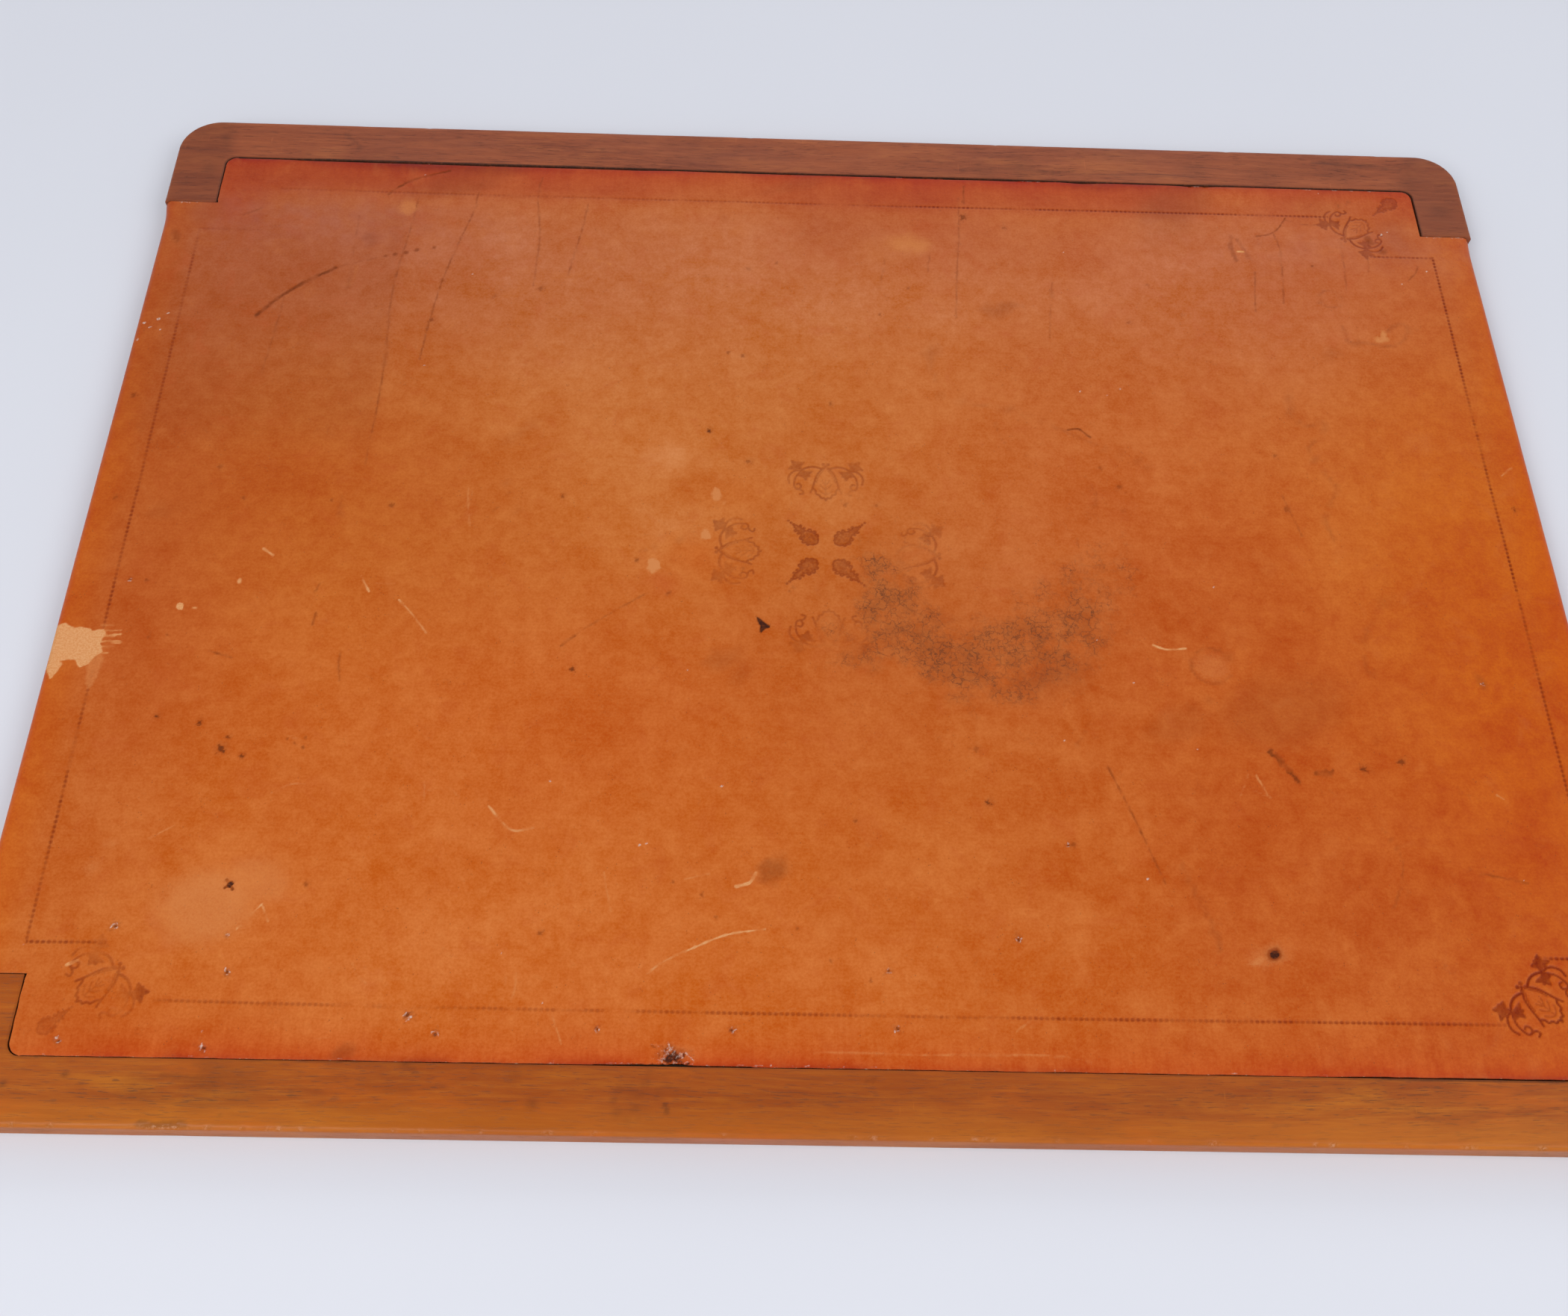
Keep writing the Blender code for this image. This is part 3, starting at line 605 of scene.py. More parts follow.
# pale rubbed spots: x, y, reach x, reach y, amount, ragged
RUBS = [
    (-74,60, 5,4, .2, .4), (-71.3,38, 1.3,1.1, .5, .4), (-75,73, 9,8, .26, .4),
    (-116,24, 21,15, .20, .4), (-433,-56, 2.4,2.8, 1.0, .4), (-423,-57, 1.8,.9, .8, .3),
    (-397,-35, 1.5,2.2, .8, .3), (-376,-265, 31,25, .44, .22), (-350,-249, 20,16, .34, .25),
    (-450,-241, 5,5, .35, .3), (-443,-227, 6,5, .28, .3), (-326,309, 8,8, .40, .3),
    (66,286, 19,12, .46, .3), (48,280, 28,16, .22, .3), (-184,280, 5,7, .2, .4),
    (-113,77, 19,12, .38, .4), (-90,70, 12,9, .22, .4), (-92,10, 9,8, .18, .4),
    (425,202, 6,3, .6, .6), (427,207, 3,4, .6, .5), (436,105, 11,11, .20, .2),
    (259,-84, 12,11, .27, .2), (-120,70, 30,24, .08, .3),
]
for x, y, reach_x, reach_y, amount, ragged in RUBS:
    share = 0.12 if amount > 0.6 else 0.45
    blob(pale, x, y, reach_x, reach_y, amount, soft=max(0.6, min(reach_x, reach_y) * share),
         ragged=ragged, angle=0, seed=int(460 + abs(x) % 9), cells=3)

# scratches that read pale: width, amount, then points as x,y
LIGHT_LINES = [
    (1.3, .62, -288,-47, -278,-58, -267,-72), (1.5, .32, -251,45, -250,30, -247,14),
    (1.4, .6, -316,-29, -309,-41), (1.4, .75, 221,-69, 230,-72, 243,-71),
    (1.2, .85, -108,-302, -98,-294, -82,-286, -61,-277, -38,-273),
    (1.4, .55, -213,-196, -204,-206, -196,-212, -184,-210),
    (1.3, .85, -356,-279, -350,-271, -343.5,-263), (1.0, .6, -343.5,-263, -341,-268, -338,-274),
    (1.1, .35, -88,-242, -73,-238), (2.0, .6, -56,-246, -49,-244, -46,-241, -44,-237),
    (1.1, .35, -284,-299, -280,-306, -274,-311), (1.1, .4, -186,-303, -186,-312, -188,-321),
    (.9, .25, -193,-320, -192,-305), (1.0, .35, -138,-238, -135,-252, -132,-264),
    (1.0, .35, -163,-327, -156,-345), (1.3, .42, 278,-164, 285,-180),
    (1.2, .25, 273,-163, 266,-178), (1.0, .3, 286,-180, 274,-174),
    (1.4, .7, 490,78, 496,83, 499,85), (1.3, .55, 433,-174, 437,-177),
    (2.2, .25, -282,187, -275,196), (2.0, .22, -280,222, -272,230), (2.2, .3, -180,262, -165,256),
    (1.0, .3, -252,-186, -240,-184, -232,-190), (1.0, .28, -255,-180, -254,-195),
    (1.0, .35, -420,-222, -406,-213), (1.0, .35, -350,-190, -340,-184, -330,-183),
    (.9, .2, -310,-35, -290,-34), (1.6, .12, 20,172, 60,171, 90,170),
    (1.6, .12, -160,172, -90,166, -20,160, 20,150, 46,147), (1.4, .08, -100,95, -60,90),
    (1.2, .25, -230,-22, -222,-46), (1.2, .4, -340,-152, -345,-150),
    (1.0, .18, -60,-330, -20,-322), (1.0, .4, 112,-333, 120,-327),
    (1.1, .28, -10,-347, 60,-348, 130,-347, 156,-351), (1.6, 1.0, 325,287, 330,287),
    (1.8, .6, -385,-9, -378,-14), (1.0, .2, -248,45, -251,20), (1.8, .9, -452,-303, -446,-300),
    (.9, .2, -300,-345, -290,-343), (1.0, .22, -272,-300, -262,-312),
    (1.0, .08, -60,-120, -40,-128), (1.0, .1, 200,300, 230,306),
]
for k, (width, amount, *points) in enumerate(LIGHT_LINES):
    stroke(pale, points, width * 1.2, min(1.0, amount * 1.4), soft=0.45, ragged=0.3,
           seed=480 + k, depth=0.05 * amount)

# white specks: x, y, radius
SPECKS = [
    (-317,344,1.0), (-315,356,1.0), (-269,242,1.2), (-295,153,1.3), (189,145,1.3), (219,148,1.3),
    (209,142,.8), (187,281,1.2), (-196,-291,1.0), (-169,-321,.9), (-103,-148,.9), (-92,-96,1.0),
    (-117,-220,1.5), (-113,-219,1.0), (-67,-179,1.6), (-176,-178,1.5), (205,-98,1.2),
    (242,-146,1.0), (450,258,1.3), (438,-232,.8), (-480,-291,1.0), (-506,186,2.0),
    (-501,182,1.8), (-496,190,2.2), (-493,180,1.4), (-508,170,1.5), (-490,196,1.6),
    (443,309,1.8), (448,312,1.2), (155,-142,1.1), (200,-236,1.6), (183,-66,1.0),
    (-365,-341,1.0), (268,-22,1.0), (472,272,1.3), (399,352,.9),
]
for x, y, radius in SPECKS:
    blob(white, x, y, radius * 0.70, radius * 0.50, amount=0.58, soft=0.35, ragged=0.3, angle=30,
         seed=520, depth=-0.04)

# flecks on the edges that face the ends of the rear returns
draw = np.random.RandomState(31).uniform
for k in range(26):
    x = draw(478, 506) if k % 2 else draw(-506, -484)
    blob(white, x, 307.7 + draw(-0.7, 0.6), draw(0.5, 1.7), draw(0.3, 0.6),
         amount=draw(0.3, 0.75), soft=0.35, ragged=0.4, angle=draw(-20, 20), seed=500 + k,
         depth=-0.06)

# the tear is chewed and full of pale crumbs
rng = np.random.RandomState(77)
draw = rng.uniform
for k in range(20):
    x, y = TEAR_X + rng.normal(0, 5.2), TEAR_Y + rng.normal(0.3, 3.0)
    blob(dark, x + rng.normal(0, 1.4), y - 0.8, draw(0.8, 1.9), draw(0.5, 1.0),
         amount=draw(0.4, 0.9), soft=0.4, ragged=0.7, angle=draw(-60, 80), seed=560 + k,
         depth=draw(0.2, 0.5), cells=5)
    blob(white, x, y, draw(0.8, 2.4), draw(0.3, 0.6), amount=draw(0.22, 0.50), soft=0.35,
         ragged=0.7, angle=draw(-60, 80), seed=540 + k, depth=-draw(0.15, 0.45), cells=5)
# torn fibres: width, then both ends as x,y
for width, *points in ((1.0, -101,-344, -96,-349), (1.3, -99,-355, -91,-346),
                       (1.2, -88,-345, -85,-352), (.9, -94,-342.5, -92,-347),
                       (1.0, -83,-349, -78,-354), (1.1, -103,-352, -97,-354.5)):
    stroke(white, points, width * 0.9, amount=0.46, soft=0.4, ragged=0.5, seed=535, depth=-0.2)
# flecks along the front edge near the tear, then on the back edge
for k in range(34):
    x = draw(-136, -62) if k < 22 else draw(-62, 30)
    blob(white, x, -355.8 + draw(-0.4, 0.6), draw(0.5, 1.5), draw(0.3, 0.6),
         amount=draw(0.25, 0.6), soft=0.35, ragged=0.3, angle=draw(-15, 15), seed=570 + k,
         depth=-0.12)
for x in (388, 393, 426, 441, 412, 160, 172, 165, 60, 300):
    blob(white, x + draw(-1, 1), 355.7, draw(1.2, 3.2), 0.6, amount=0.5, soft=0.4, ragged=0.3,
         angle=0, seed=620, depth=-0.1)
# the cut edge shows pale in flecks all along
for k in range(60):
    x = draw(-465, 465)
    y = -355.9 if k < 38 else 355.9
    blob(white, x, y + draw(-0.2, 0.2), draw(0.6, 2.4), 0.42, amount=draw(0.15, 0.45), soft=0.35,
         ragged=0.3, angle=0, seed=640 + k)

# the slow undulation of a hide on old boards, stronger near its edges, and dents
relief += 0.16 * clouds(FLAT_X, FLAT_Y, 150, 700, 2) + 0.05 * clouds(FLAT_X, FLAT_Y, 32, 710, 2)
from_edge = np.minimum(SHEET_Y - np.abs(FLAT_Y), 40)
relief += 0.18 * np.exp(-from_edge / 7.0) * clouds(FLAT_X, FLAT_Y, 55, 720)
# x, y, radius, depth; a negative depth is a rise
for x0, y0, radius, depth in ((-373, -267, 34, .10), (120, -85, 60, -.08), (-120, 20, 50, .07),
                              (320, 120, 70, -.08), (-330, 220, 60, -.07), (60, 285, 30, .06)):
    win, x, y = window((x0, y0), (x0, y0), 2.2 * radius)
    relief[win] -= depth * np.exp(-((x - x0) ** 2 + (y - y0) ** 2) / (2 * (radius * 0.6) ** 2))
relief = np.clip(relief, -1.35, 0.42)

# ------------------------------------------------------- adaptive quad tree
CELLS_X, CELLS_Y = COUNT_X - 1, COUNT_Y - 1


def spread(blocks, size):
    return np.repeat(np.repeat(blocks, size, 0), size, 1)


def block_levels(fields, tolerances, cap):
    """Largest block, per finest cell, over which linear interpolation of every
    field stays inside its tolerance."""
    level = np.zeros((CELLS_X, CELLS_Y), np.int8)
    fits_below = np.ones((CELLS_X, CELLS_Y), bool)
    for k in range(1, TOP_LEVEL + 1):
        size = 2 ** k
        shape = (CELLS_X // size, CELLS_Y // size)
        error = np.zeros(shape)
        for field, tolerance in zip(fields, tolerances):
            corner = field[::size, ::size]
            for i in range(size + 1):
                for j in range(size + 1):
                    x, y = i / size, j / size
                    actual = field[i:COUNT_X - size + i:size, j:COUNT_Y - size + j:size]
                    near = corner[:-1, :-1] * (1 - x) + corner[1:, :-1] * x
                    far = corner[:-1, 1:] * (1 - x) + corner[1:, 1:] * x
                    miss = np.abs(actual - (near * (1 - y) + far * y))
                    error = np.maximum(error, miss / tolerance)
        fits = (error < 1.0) & fits_below.reshape(shape[0], 2, shape[1], 2).all((1, 3))
        level = np.where(spread(fits, size), k, level).astype(np.int8)
        fits_below = fits
    return np.minimum(level, cap)


def settle(need):
    """Blocks take their most demanding cell; neighbours differ by one level at most."""
    for _ in range(30):
        blocks = np.zeros_like(need)
        for k in range(1, TOP_LEVEL + 1):
            size = 2 ** k
            cells = need.reshape(CELLS_X // size, size, CELLS_Y // size, size)
            blocks = np.where(spread(cells.min((1, 3)) >= k, size), k, blocks)
        lowest = blocks.copy()
        lowest[1:] = np.minimum(lowest[1:], blocks[:-1])
        lowest[:-1] = np.minimum(lowest[:-1], blocks[1:])
        lowest[:, 1:] = np.minimum(lowest[:, 1:], blocks[:, :-1])
        lowest[:, :-1] = np.minimum(lowest[:, :-1], blocks[:, 1:])
        need = np.minimum(blocks, lowest + 1)
        if (need == blocks).all():
            break
    level = blocks.astype(np.int8)
    level[notched] = -1
    return level


mid_x = np.abs((X_LINES[1:] + X_LINES[:-1]) / 2)
mid_y = np.abs((Y_LINES[1:] + Y_LINES[:-1]) / 2)
notched = (mid_x[:, None] > CUT_X) & (mid_y[None, :] > CUT_Y)
present = ~notched
inner = np.zeros_like(present)
inner[1:-1, 1:-1] = (present[1:-1, 1:-1] & present[:-2, 1:-1] & present[2:, 1:-1]
                     & present[1:-1, :-2] & present[1:-1, 2:])
rim_cells = present & ~inner

# the turns of the hide and its edges stay fine
top_turn = (mid_x > FLAT_END - 1) & (mid_x < ROLL_END + 1)
low_turn = (mid_x > SIDE_END - 1) & (mid_x < LOW_ROLL_END + 1)
cap = np.full((CELLS_X, CELLS_Y), TOP_LEVEL, np.int8)
cap[mid_x > FLAT_END - 20] = 3
cap[top_turn] = 2
cap[low_turn] = 1
cap[(np.abs(mid_x[:, None] - (CUT_X - 4)) < 6) & (mid_y[None, :] > SHEET_Y - 10)] = 1
cap[rim_cells] = np.minimum(cap[rim_cells], 2)
TOLERANCES = (0.13, 0.13 * 1.5, 0.13 * 1.5, 0.25, 0.4, 0.075)
need = block_levels((tooling, dark, pale, white, crazed, relief), TOLERANCES, cap)
need[notched] = TOP_LEVEL
level_top = settle(need)
need = np.full((CELLS_X, CELLS_Y), TOP_LEVEL, np.int8)
need[top_turn | low_turn] = 2
need[mid_x > FLAT_END - 20] = np.minimum(need[mid_x > FLAT_END - 20], 3)
need[rim_cells] = level_top[rim_cells]
level_low = settle(need)


def leaf_faces(level):
    """Faces as rows of lattice keys, counter-clockwise seen from above. Cells
    beside finer ones are fanned from their middle, so nothing hangs."""
    quads, tris = [], []
    padded = np.pad(level, 1, constant_values=-1)
    padded = np.where(padded < 0, TOP_LEVEL + 5, padded)
    for k in range(TOP_LEVEL + 1):
        size, half = 2 ** k, 2 ** k // 2
        i, j = np.nonzero(level[::size, ::size] == k)
        i, j = i * size, j * size
        # one bit per side that has finer neighbours: front, right, back, left
        finer = ((padded[i + 1, j] < k) * 1 + (padded[i + size + 1, j + 1] < k) * 2
                 + (padded[i + 1, j + size + 1] < k) * 4 + (padded[i, j + 1] < k) * 8)
        for code in range(16):
            origin = (i * COUNT_Y + j)[finer == code]
            if len(origin) == 0:
                continue
            corners = [origin + x * COUNT_Y + y
                       for x, y in ((0, 0), (size, 0), (size, size), (0, size))]
            if code == 0:
                quads.append(np.stack(corners, 1))
                continue
            middles = [origin + x * COUNT_Y + y
                       for x, y in ((half, 0), (size, half), (half, size), (0, half))]
            ring = []
            for side in range(4):
                ring.append(corners[side])
                if code >> side & 1:
                    ring.append(middles[side])
            centre = origin + half * COUNT_Y + half
            for start, end in zip(ring, ring[1:] + ring[:1]):
                tris.append(np.stack([start, end, centre], 1))
    return np.concatenate(quads), np.concatenate(tris)


def boundary_loop(quads, tris):
    """The outline as lattice keys in order, from edges used by one face only."""
    edges = np.concatenate([np.stack([faces[:, k], np.roll(faces, -1, 1)[:, k]], 1)
                            for faces in (quads, tris) for k in range(faces.shape[1])])
    forward = edges[:, 0] * (COUNT_X * COUNT_Y) + edges[:, 1]
    backward = edges[:, 1] * (COUNT_X * COUNT_Y) + edges[:, 0]
    lone = edges[~np.isin(forward, backward)]
    following = dict(lone.tolist())
    loop = [int(lone[0, 0])]
    while following[loop[-1]] != loop[0]:
        loop.append(following[loop[-1]])
    return np.array(loop)


# ================================================================ hide mesh
def fold(flat, depth):
    """Flat sheet to space. depth is measured into the sheet from its face, mm."""
    across, y = flat.T
    side, run = np.sign(across), np.abs(across)
    x, z = run.copy(), np.full(run.shape, HIDE_TOP * MM)
    normal_x, normal_z = np.zeros(run.shape), np.ones(run.shape)
    radius = ROLL * MM
    part = (run > FLAT_END) & (run <= ROLL_END)
    turn = (run[part] - FLAT_END) / radius
    x[part] = FLAT_END + radius * np.sin(turn)
    z[part] = HIDE_TOP * MM - radius + radius * np.cos(turn)
    normal_x[part], normal_z[part] = np.sin(turn), np.cos(turn)
    part = (run > ROLL_END) & (run <= SIDE_END)
    x[part], z[part] = HIDE_SIDE * MM, HIDE_TOP * MM - radius - (run[part] - ROLL_END)
    normal_x[part], normal_z[part] = 1, 0
    radius = LOW_ROLL * MM
    part = (run > SIDE_END) & (run <= LOW_ROLL_END)
    turn = (run[part] - SIDE_END) / radius
    x[part] = HIDE_SIDE * MM - radius + radius * np.cos(turn)
    z[part] = LAP_LOW * MM + radius - radius * np.sin(turn)
    normal_x[part], normal_z[part] = np.cos(turn), -np.sin(turn)
    part = run > LOW_ROLL_END
    x[part], z[part] = HIDE_SIDE * MM - radius - (run[part] - LOW_ROLL_END), LAP_LOW * MM
    normal_x[part], normal_z[part] = 0, -1
    # by each return the sides swell a little, most at the back on the left
    swell = np.where(y > 0, np.where(side < 0, 2.3, 1.0), 1.2)
    swell = swell * np.exp(-(np.clip(CUT_Y - np.abs(y), 0, 200) / 11.0) ** 2)
    x = x + swell * ease(CUT_X, FLAT_END, run)
    return np.stack([side * (x - normal_x * depth), y, z - normal_z * depth], -1) / MM


def thickness(across):
    """The hide is skived thinner where it turns under."""
    low = np.clip((np.abs(across) - SIDE_END) / (LOW_ROLL * MM * math.pi / 2), 0, 1)
    return (HIDE_T + (SKIVED_T - HIDE_T) * low) * MM


def unit(vectors):
    return vectors / np.linalg.norm(vectors, axis=1)[:, None]


def outward_normals(outline):
    before = unit(outline - np.roll(outline, 1, 0))
    after = unit(np.roll(outline, -1, 0) - outline)
    before, after = (np.stack([run[:, 1], -run[:, 0]], 1) for run in (before, after))
    outward = unit(before + after)
    return outward / np.clip((outward * before).sum(1), 0.5, 1)[:, None]


def edge_wander(x, y):
    """How far the cut edge stands back from its nominal line, mm."""
    wander = 0.02 + 0.14 * clouds(x, y, 40, 730)
    flat = x * 0
    long_edge = np.abs(x) < CUT_X - 6
    rear = (y > SHEET_Y - 1.5) & long_edge
    gapes = (0.5 * ease(-430, -405, x) * ease(-128, -150, x)
             + 0.5 * ease(40, 60, x) * ease(190, 170, x)
             + 0.9 * np.exp(-((x - 208) / 12) ** 2) + 0.9 * np.exp(-((x - 300) / 14) ** 2)
             + 0.35 * ease(-120, -60, x) * ease(60, 20, x))
    gapes = 0.25 + gapes * (1.15 + 0.5 * clouds(x, y, 30, 740))
    wander = np.where(rear, wander + gapes, wander)
    front = (y < -SHEET_Y + 1.5) & long_edge
    slack = 0.45 * ease(280, 330, x) * (1 + 0.4 * noise(x / 20, flat, 745))
    wander = np.where(front, wander + slack, wander)
    tear = front & (np.abs(x - TEAR_X) < 46)
    bite = 3.0 * np.exp(-((x - TEAR_X - 2) / 6.5) ** 2) + 0.8 * np.exp(-((x + 108) / 9) ** 2)
    wander = np.where(tear, wander + bite * (0.7 + 0.5 * noise(x / 2.1, flat, 750)), wander)
    tight = np.maximum(wander - 0.38 + 0.16 * noise(x / 7, flat, 752), -0.50)
    wander = np.where(front & ~tear, tight, wander)
    # all corners but the right rear one reach closer to the returns
    close = (y < 0) | (x < 0)
    beside = (np.abs(np.abs(x) - CUT_X) < 1.5) & (np.abs(y) > CUT_Y)
    tight = wander - 0.72 + 0.30 * noise(y / 7, flat, 753)
    wander = np.where(beside & close, tight, wander)
    corner = ((np.abs(x) > CUT_X - INNER_R * MM) & (np.abs(y) > SHEET_Y - INNER_R * MM)
              & ~beside & (np.abs(x) < CUT_X + 0.5))
    return np.clip(np.where(corner & close, wander - 0.62, wander), -0.85, 3.2)


def flat_points(keys):
    return np.stack([FLAT_X.take(keys), FLAT_Y.take(keys)], 1)


def mesh_sheet(quads, tris):
    """The lattice keys in use, and where each key stands among them."""
    used = np.unique(np.concatenate([quads.ravel(), tris.ravel()]))
    place = np.full(COUNT_X * COUNT_Y, -1, np.int64)
    place[used] = np.arange(len(used))
    return used, place


quads_top, tris_top = leaf_faces(level_top)
quads_low, tris_low = leaf_faces(level_low)
loop = boundary_loop(quads_top, tris_top)
outline = flat_points(loop)
outward = outward_normals(outline)
wander = edge_wander(*outline.T)
on_turn = np.abs(outline[:, 0]) > FLAT_END
inset = np.where(on_turn, 0.35, 0.34 + wander)
wander = np.where(on_turn, 0.0, wander)


def stand_back(distance):
    return outward * np.reshape(distance, (-1, 1))


used_top, place_top = mesh_sheet(quads_top, tris_top)
used_low, place_low = mesh_sheet(quads_low, tris_low)
flat_top, flat_low = flat_points(used_top), flat_points(used_low)
rim_top, rim_low = place_top[loop], place_low[loop]
flat_top[rim_top] -= stand_back(inset)
flat_low[rim_low] -= stand_back(wander + 0.25)
# rings round the cut edge: eased over, straight down, and under
rim_height, rim_thickness = relief.take(loop), thickness(outline[:, 0])
rings = [fold(outline - stand_back(wander + back), depth - rim_height * (1 - depth / (HIDE_T * MM)))
         for back, depth in ((0.11, 0.06), (0.01, 0.26))]
rings.append(fold(outline - stand_back(wander), rim_thickness * 0.45))
rings.append(fold(outline - stand_back(wander + 0.05), rim_thickness - 0.25))

count_top, count_loop = len(used_top), len(loop)
low_start = count_top + len(rings) * count_loop
hide_points = np.concatenate([fold(flat_top, -relief.take(used_top))] + rings
                             + [fold(flat_low, thickness(flat_low[:, 0]))])
quads = [place_top[quads_top], place_low[quads_low][:, ::-1] + low_start]
tris = [place_top[tris_top], place_low[tris_low][:, ::-1] + low_start]
stack = [rim_top]
stack += [np.arange(count_loop) + count_top + k * count_loop for k in range(len(rings))]
stack.append(rim_low + low_start)
for upper, lower in zip(stack, stack[1:]):
    quads.append(np.stack([upper, lower, np.roll(lower, -1), np.roll(upper, -1)], 1))


def mesh_from(name, points, quads, tris):
    mesh = bpy.data.meshes.new(name)
    mesh.vertices.add(len(points))
    mesh.vertices.foreach_set("co", points.astype(np.float32).ravel())
    mesh.loops.add(quads.size + tris.size)
    corners = np.concatenate([quads.ravel(), tris.ravel()]).astype(np.int32)
    mesh.loops.foreach_set("vertex_index", corners)
    mesh.polygons.add(len(quads) + len(tris))
    starts = np.concatenate([np.arange(len(quads)) * 4, quads.size + np.arange(len(tris)) * 3])
    mesh.polygons.foreach_set("loop_start", starts.astype(np.int32))
    mesh.update(calc_edges=True)
    mesh.validate()
    mesh.shade_smooth()
    return mesh


def colour_attribute(mesh, name, values):
    attribute = mesh.attributes.new(name, "FLOAT_COLOR", "POINT")
    attribute.data.foreach_set("color", np.ascontiguousarray(values, np.float32).ravel())


hide_mesh = mesh_from("tooled_hide", hide_points, np.concatenate(quads), np.concatenate(tris))

# ------------------------------------------------------- colour of the hide
HIDE_COLOUR = (193.0, 100.0, 33.0)                     # sRGB, 0 to 255
# slow drifts across the hide: x, y, reach x, reach y, change in R, G, B
DRIFTS = [
    (-90,-4, 17,15, -3,-11,-13), (-110,-30, 10,9, -6,-14,-10), (-113,77, 19,12, 8,11,15),
    (-76,71, 8,7, 5,8,10), (-116,24, 20,13, 4,7,9), (-62,46, 34,16, -1,-5,-8),
    (-62,-24, 34,16, -1,-4,-6), (-60,100, 200,150, 2,8,10), (-250,-250, 260,160, 5,3,4),
    (-380,250, 200,120, -14,-8,10), (0,260, 330,90, -3,2,16), (380,260, 180,120, -4,-1,16),
    (350,-200, 230,190, -6,-13,-8), (470,-60, 80,330, 1,-8,-24), (330,-40, 120,200, 0,-2,-6),
    (-470,40, 60,330, -8,-8,-2), (60,-60, 120,90, -9,-8,-4), (-440,-40, 90,120, -3,-7,-3),
    (-380,40, 130,130, -5,-4,-8), (200,40, 160,120, 0,-3,0), (-462,312, 22,24, -6,-17,-14),
    (-385,338, 60,17, -8,-13,-13), (2,312, 50,44, -11,-14,-9), (100,306, 46,44, -9,-13,-9),
    (205,290, 46,50, -5,-9,-9), (272,326, 28,30, -11,-6,0), (330,345, 30,18, 10,18,10),
    (400,338, 30,15, 3,13,11), (452,306, 18,22, -14,-10,0), (-310,353, 70,5, -26,-12,-14),
    (215,353, 40,5, -15,-8,-7), (-160,-120, 220,90, 0,-6,-4), (-30,-300, 260,60, 4,3,4),
    (-330,60, 130,50, -4,-8,-6), (190,20, 120,150, 0,0,3),
]


def to_linear(colour):
    colour = np.clip(colour, 0, 1)
    return np.where(colour <= 0.04045, colour / 12.92, ((colour + 0.055) / 1.055) ** 2.4)


def paint_hide(mesh, points):
    x, y, z = (points * MM).T
    tone = np.zeros((len(points), 3)) + HIDE_COLOUR
    for x0, y0, reach_x, reach_y, *change in DRIFTS:
        drift = np.exp(-(((x - x0) / reach_x) ** 2 + ((y - y0) / reach_y) ** 2))
        tone += drift[:, None] * np.array(change, float)
    to_rail = np.clip(SHEET_Y - np.abs(y), 0, 90)
    ragged = 0.75 + 0.45 * clouds(x, y, 60, 760)
    blotchy = np.clip(0.35 + 1.1 * clouds(x, y, 46, 764) + 0.35 * (y > 0), 0.0, 1.7)
    for mask, change in (
            # handling and polish gather along the rails, redder and darker there
            (np.exp(-to_rail / 16.0) * ragged, (-4, -24, -18)),
            (ease(312, 334, y) * ragged, (-11, -19, -13)),
            (np.exp(-to_rail / 5.5) * blotchy, (-11, -23, -10)),
            (np.exp(-to_rail / 1.6) * blotchy, (-22, -12, -3)),
            # towards the sides, on the turn, and below it
            (ease(484, 500, np.abs(x)), (1, -4, -12)),
            (ease(503, 509, np.abs(x)), (0, -6, -10)),
            (ease(HIDE_TOP * MM - 3, HIDE_TOP * MM - 9, z), (-24, -17, 3)),
            # an old board joint shows through at the left as a soft step in tone
            (ease(-318, -332, x) * ease(60, 110, y) * ease(330, 300, y), (-7, -5, -2))):
        tone += mask[:, None] * np.array(change, float)
    # clouded mottle
    mottle = 0.75 * clouds(x, y, 130, 770, 2) + 0.55 * clouds(x, y, 48, 780, 2)
    tone *= 1 + mottle[:, None] * np.array([0.020, 0.058, 0.15])
    opaque = np.ones((len(points), 1))
    colour_attribute(mesh, "Tone", np.concatenate([to_linear(tone / 255.0), opaque], 1))

    rim = np.zeros(len(points))
    rim[count_top:low_start] = 1
    # a band of painted sheen near the back, standing for a reflection: strongest at the left,
    # weaker at the right; it goes to the shader in MarkB
    reach = ease(-500, -470, x) * ease(-200, -330, x) + ease(230, 330, x) * 0.45 + 0.25
    painted_sheen_haze = np.exp(-(((y - 292) / 30.0) ** 2)) * reach * (0.7 + 0.5 * clouds(x, y, 60, 810))
    keys = np.concatenate([used_top] + [loop] * len(rings) + [used_low])
    marks = [tooling.take(keys) * (1 - rim), dark.take(keys), pale.take(keys), crazed.take(keys)]
    colour_attribute(mesh, "MarkA", np.stack(marks, 1))
    marks = [np.clip(painted_sheen_haze, 0, 1), rim, np.exp(-to_rail / 30.0), white.take(keys)]
    colour_attribute(mesh, "MarkB", np.stack(marks, 1))


paint_hide(hide_mesh, hide_points)


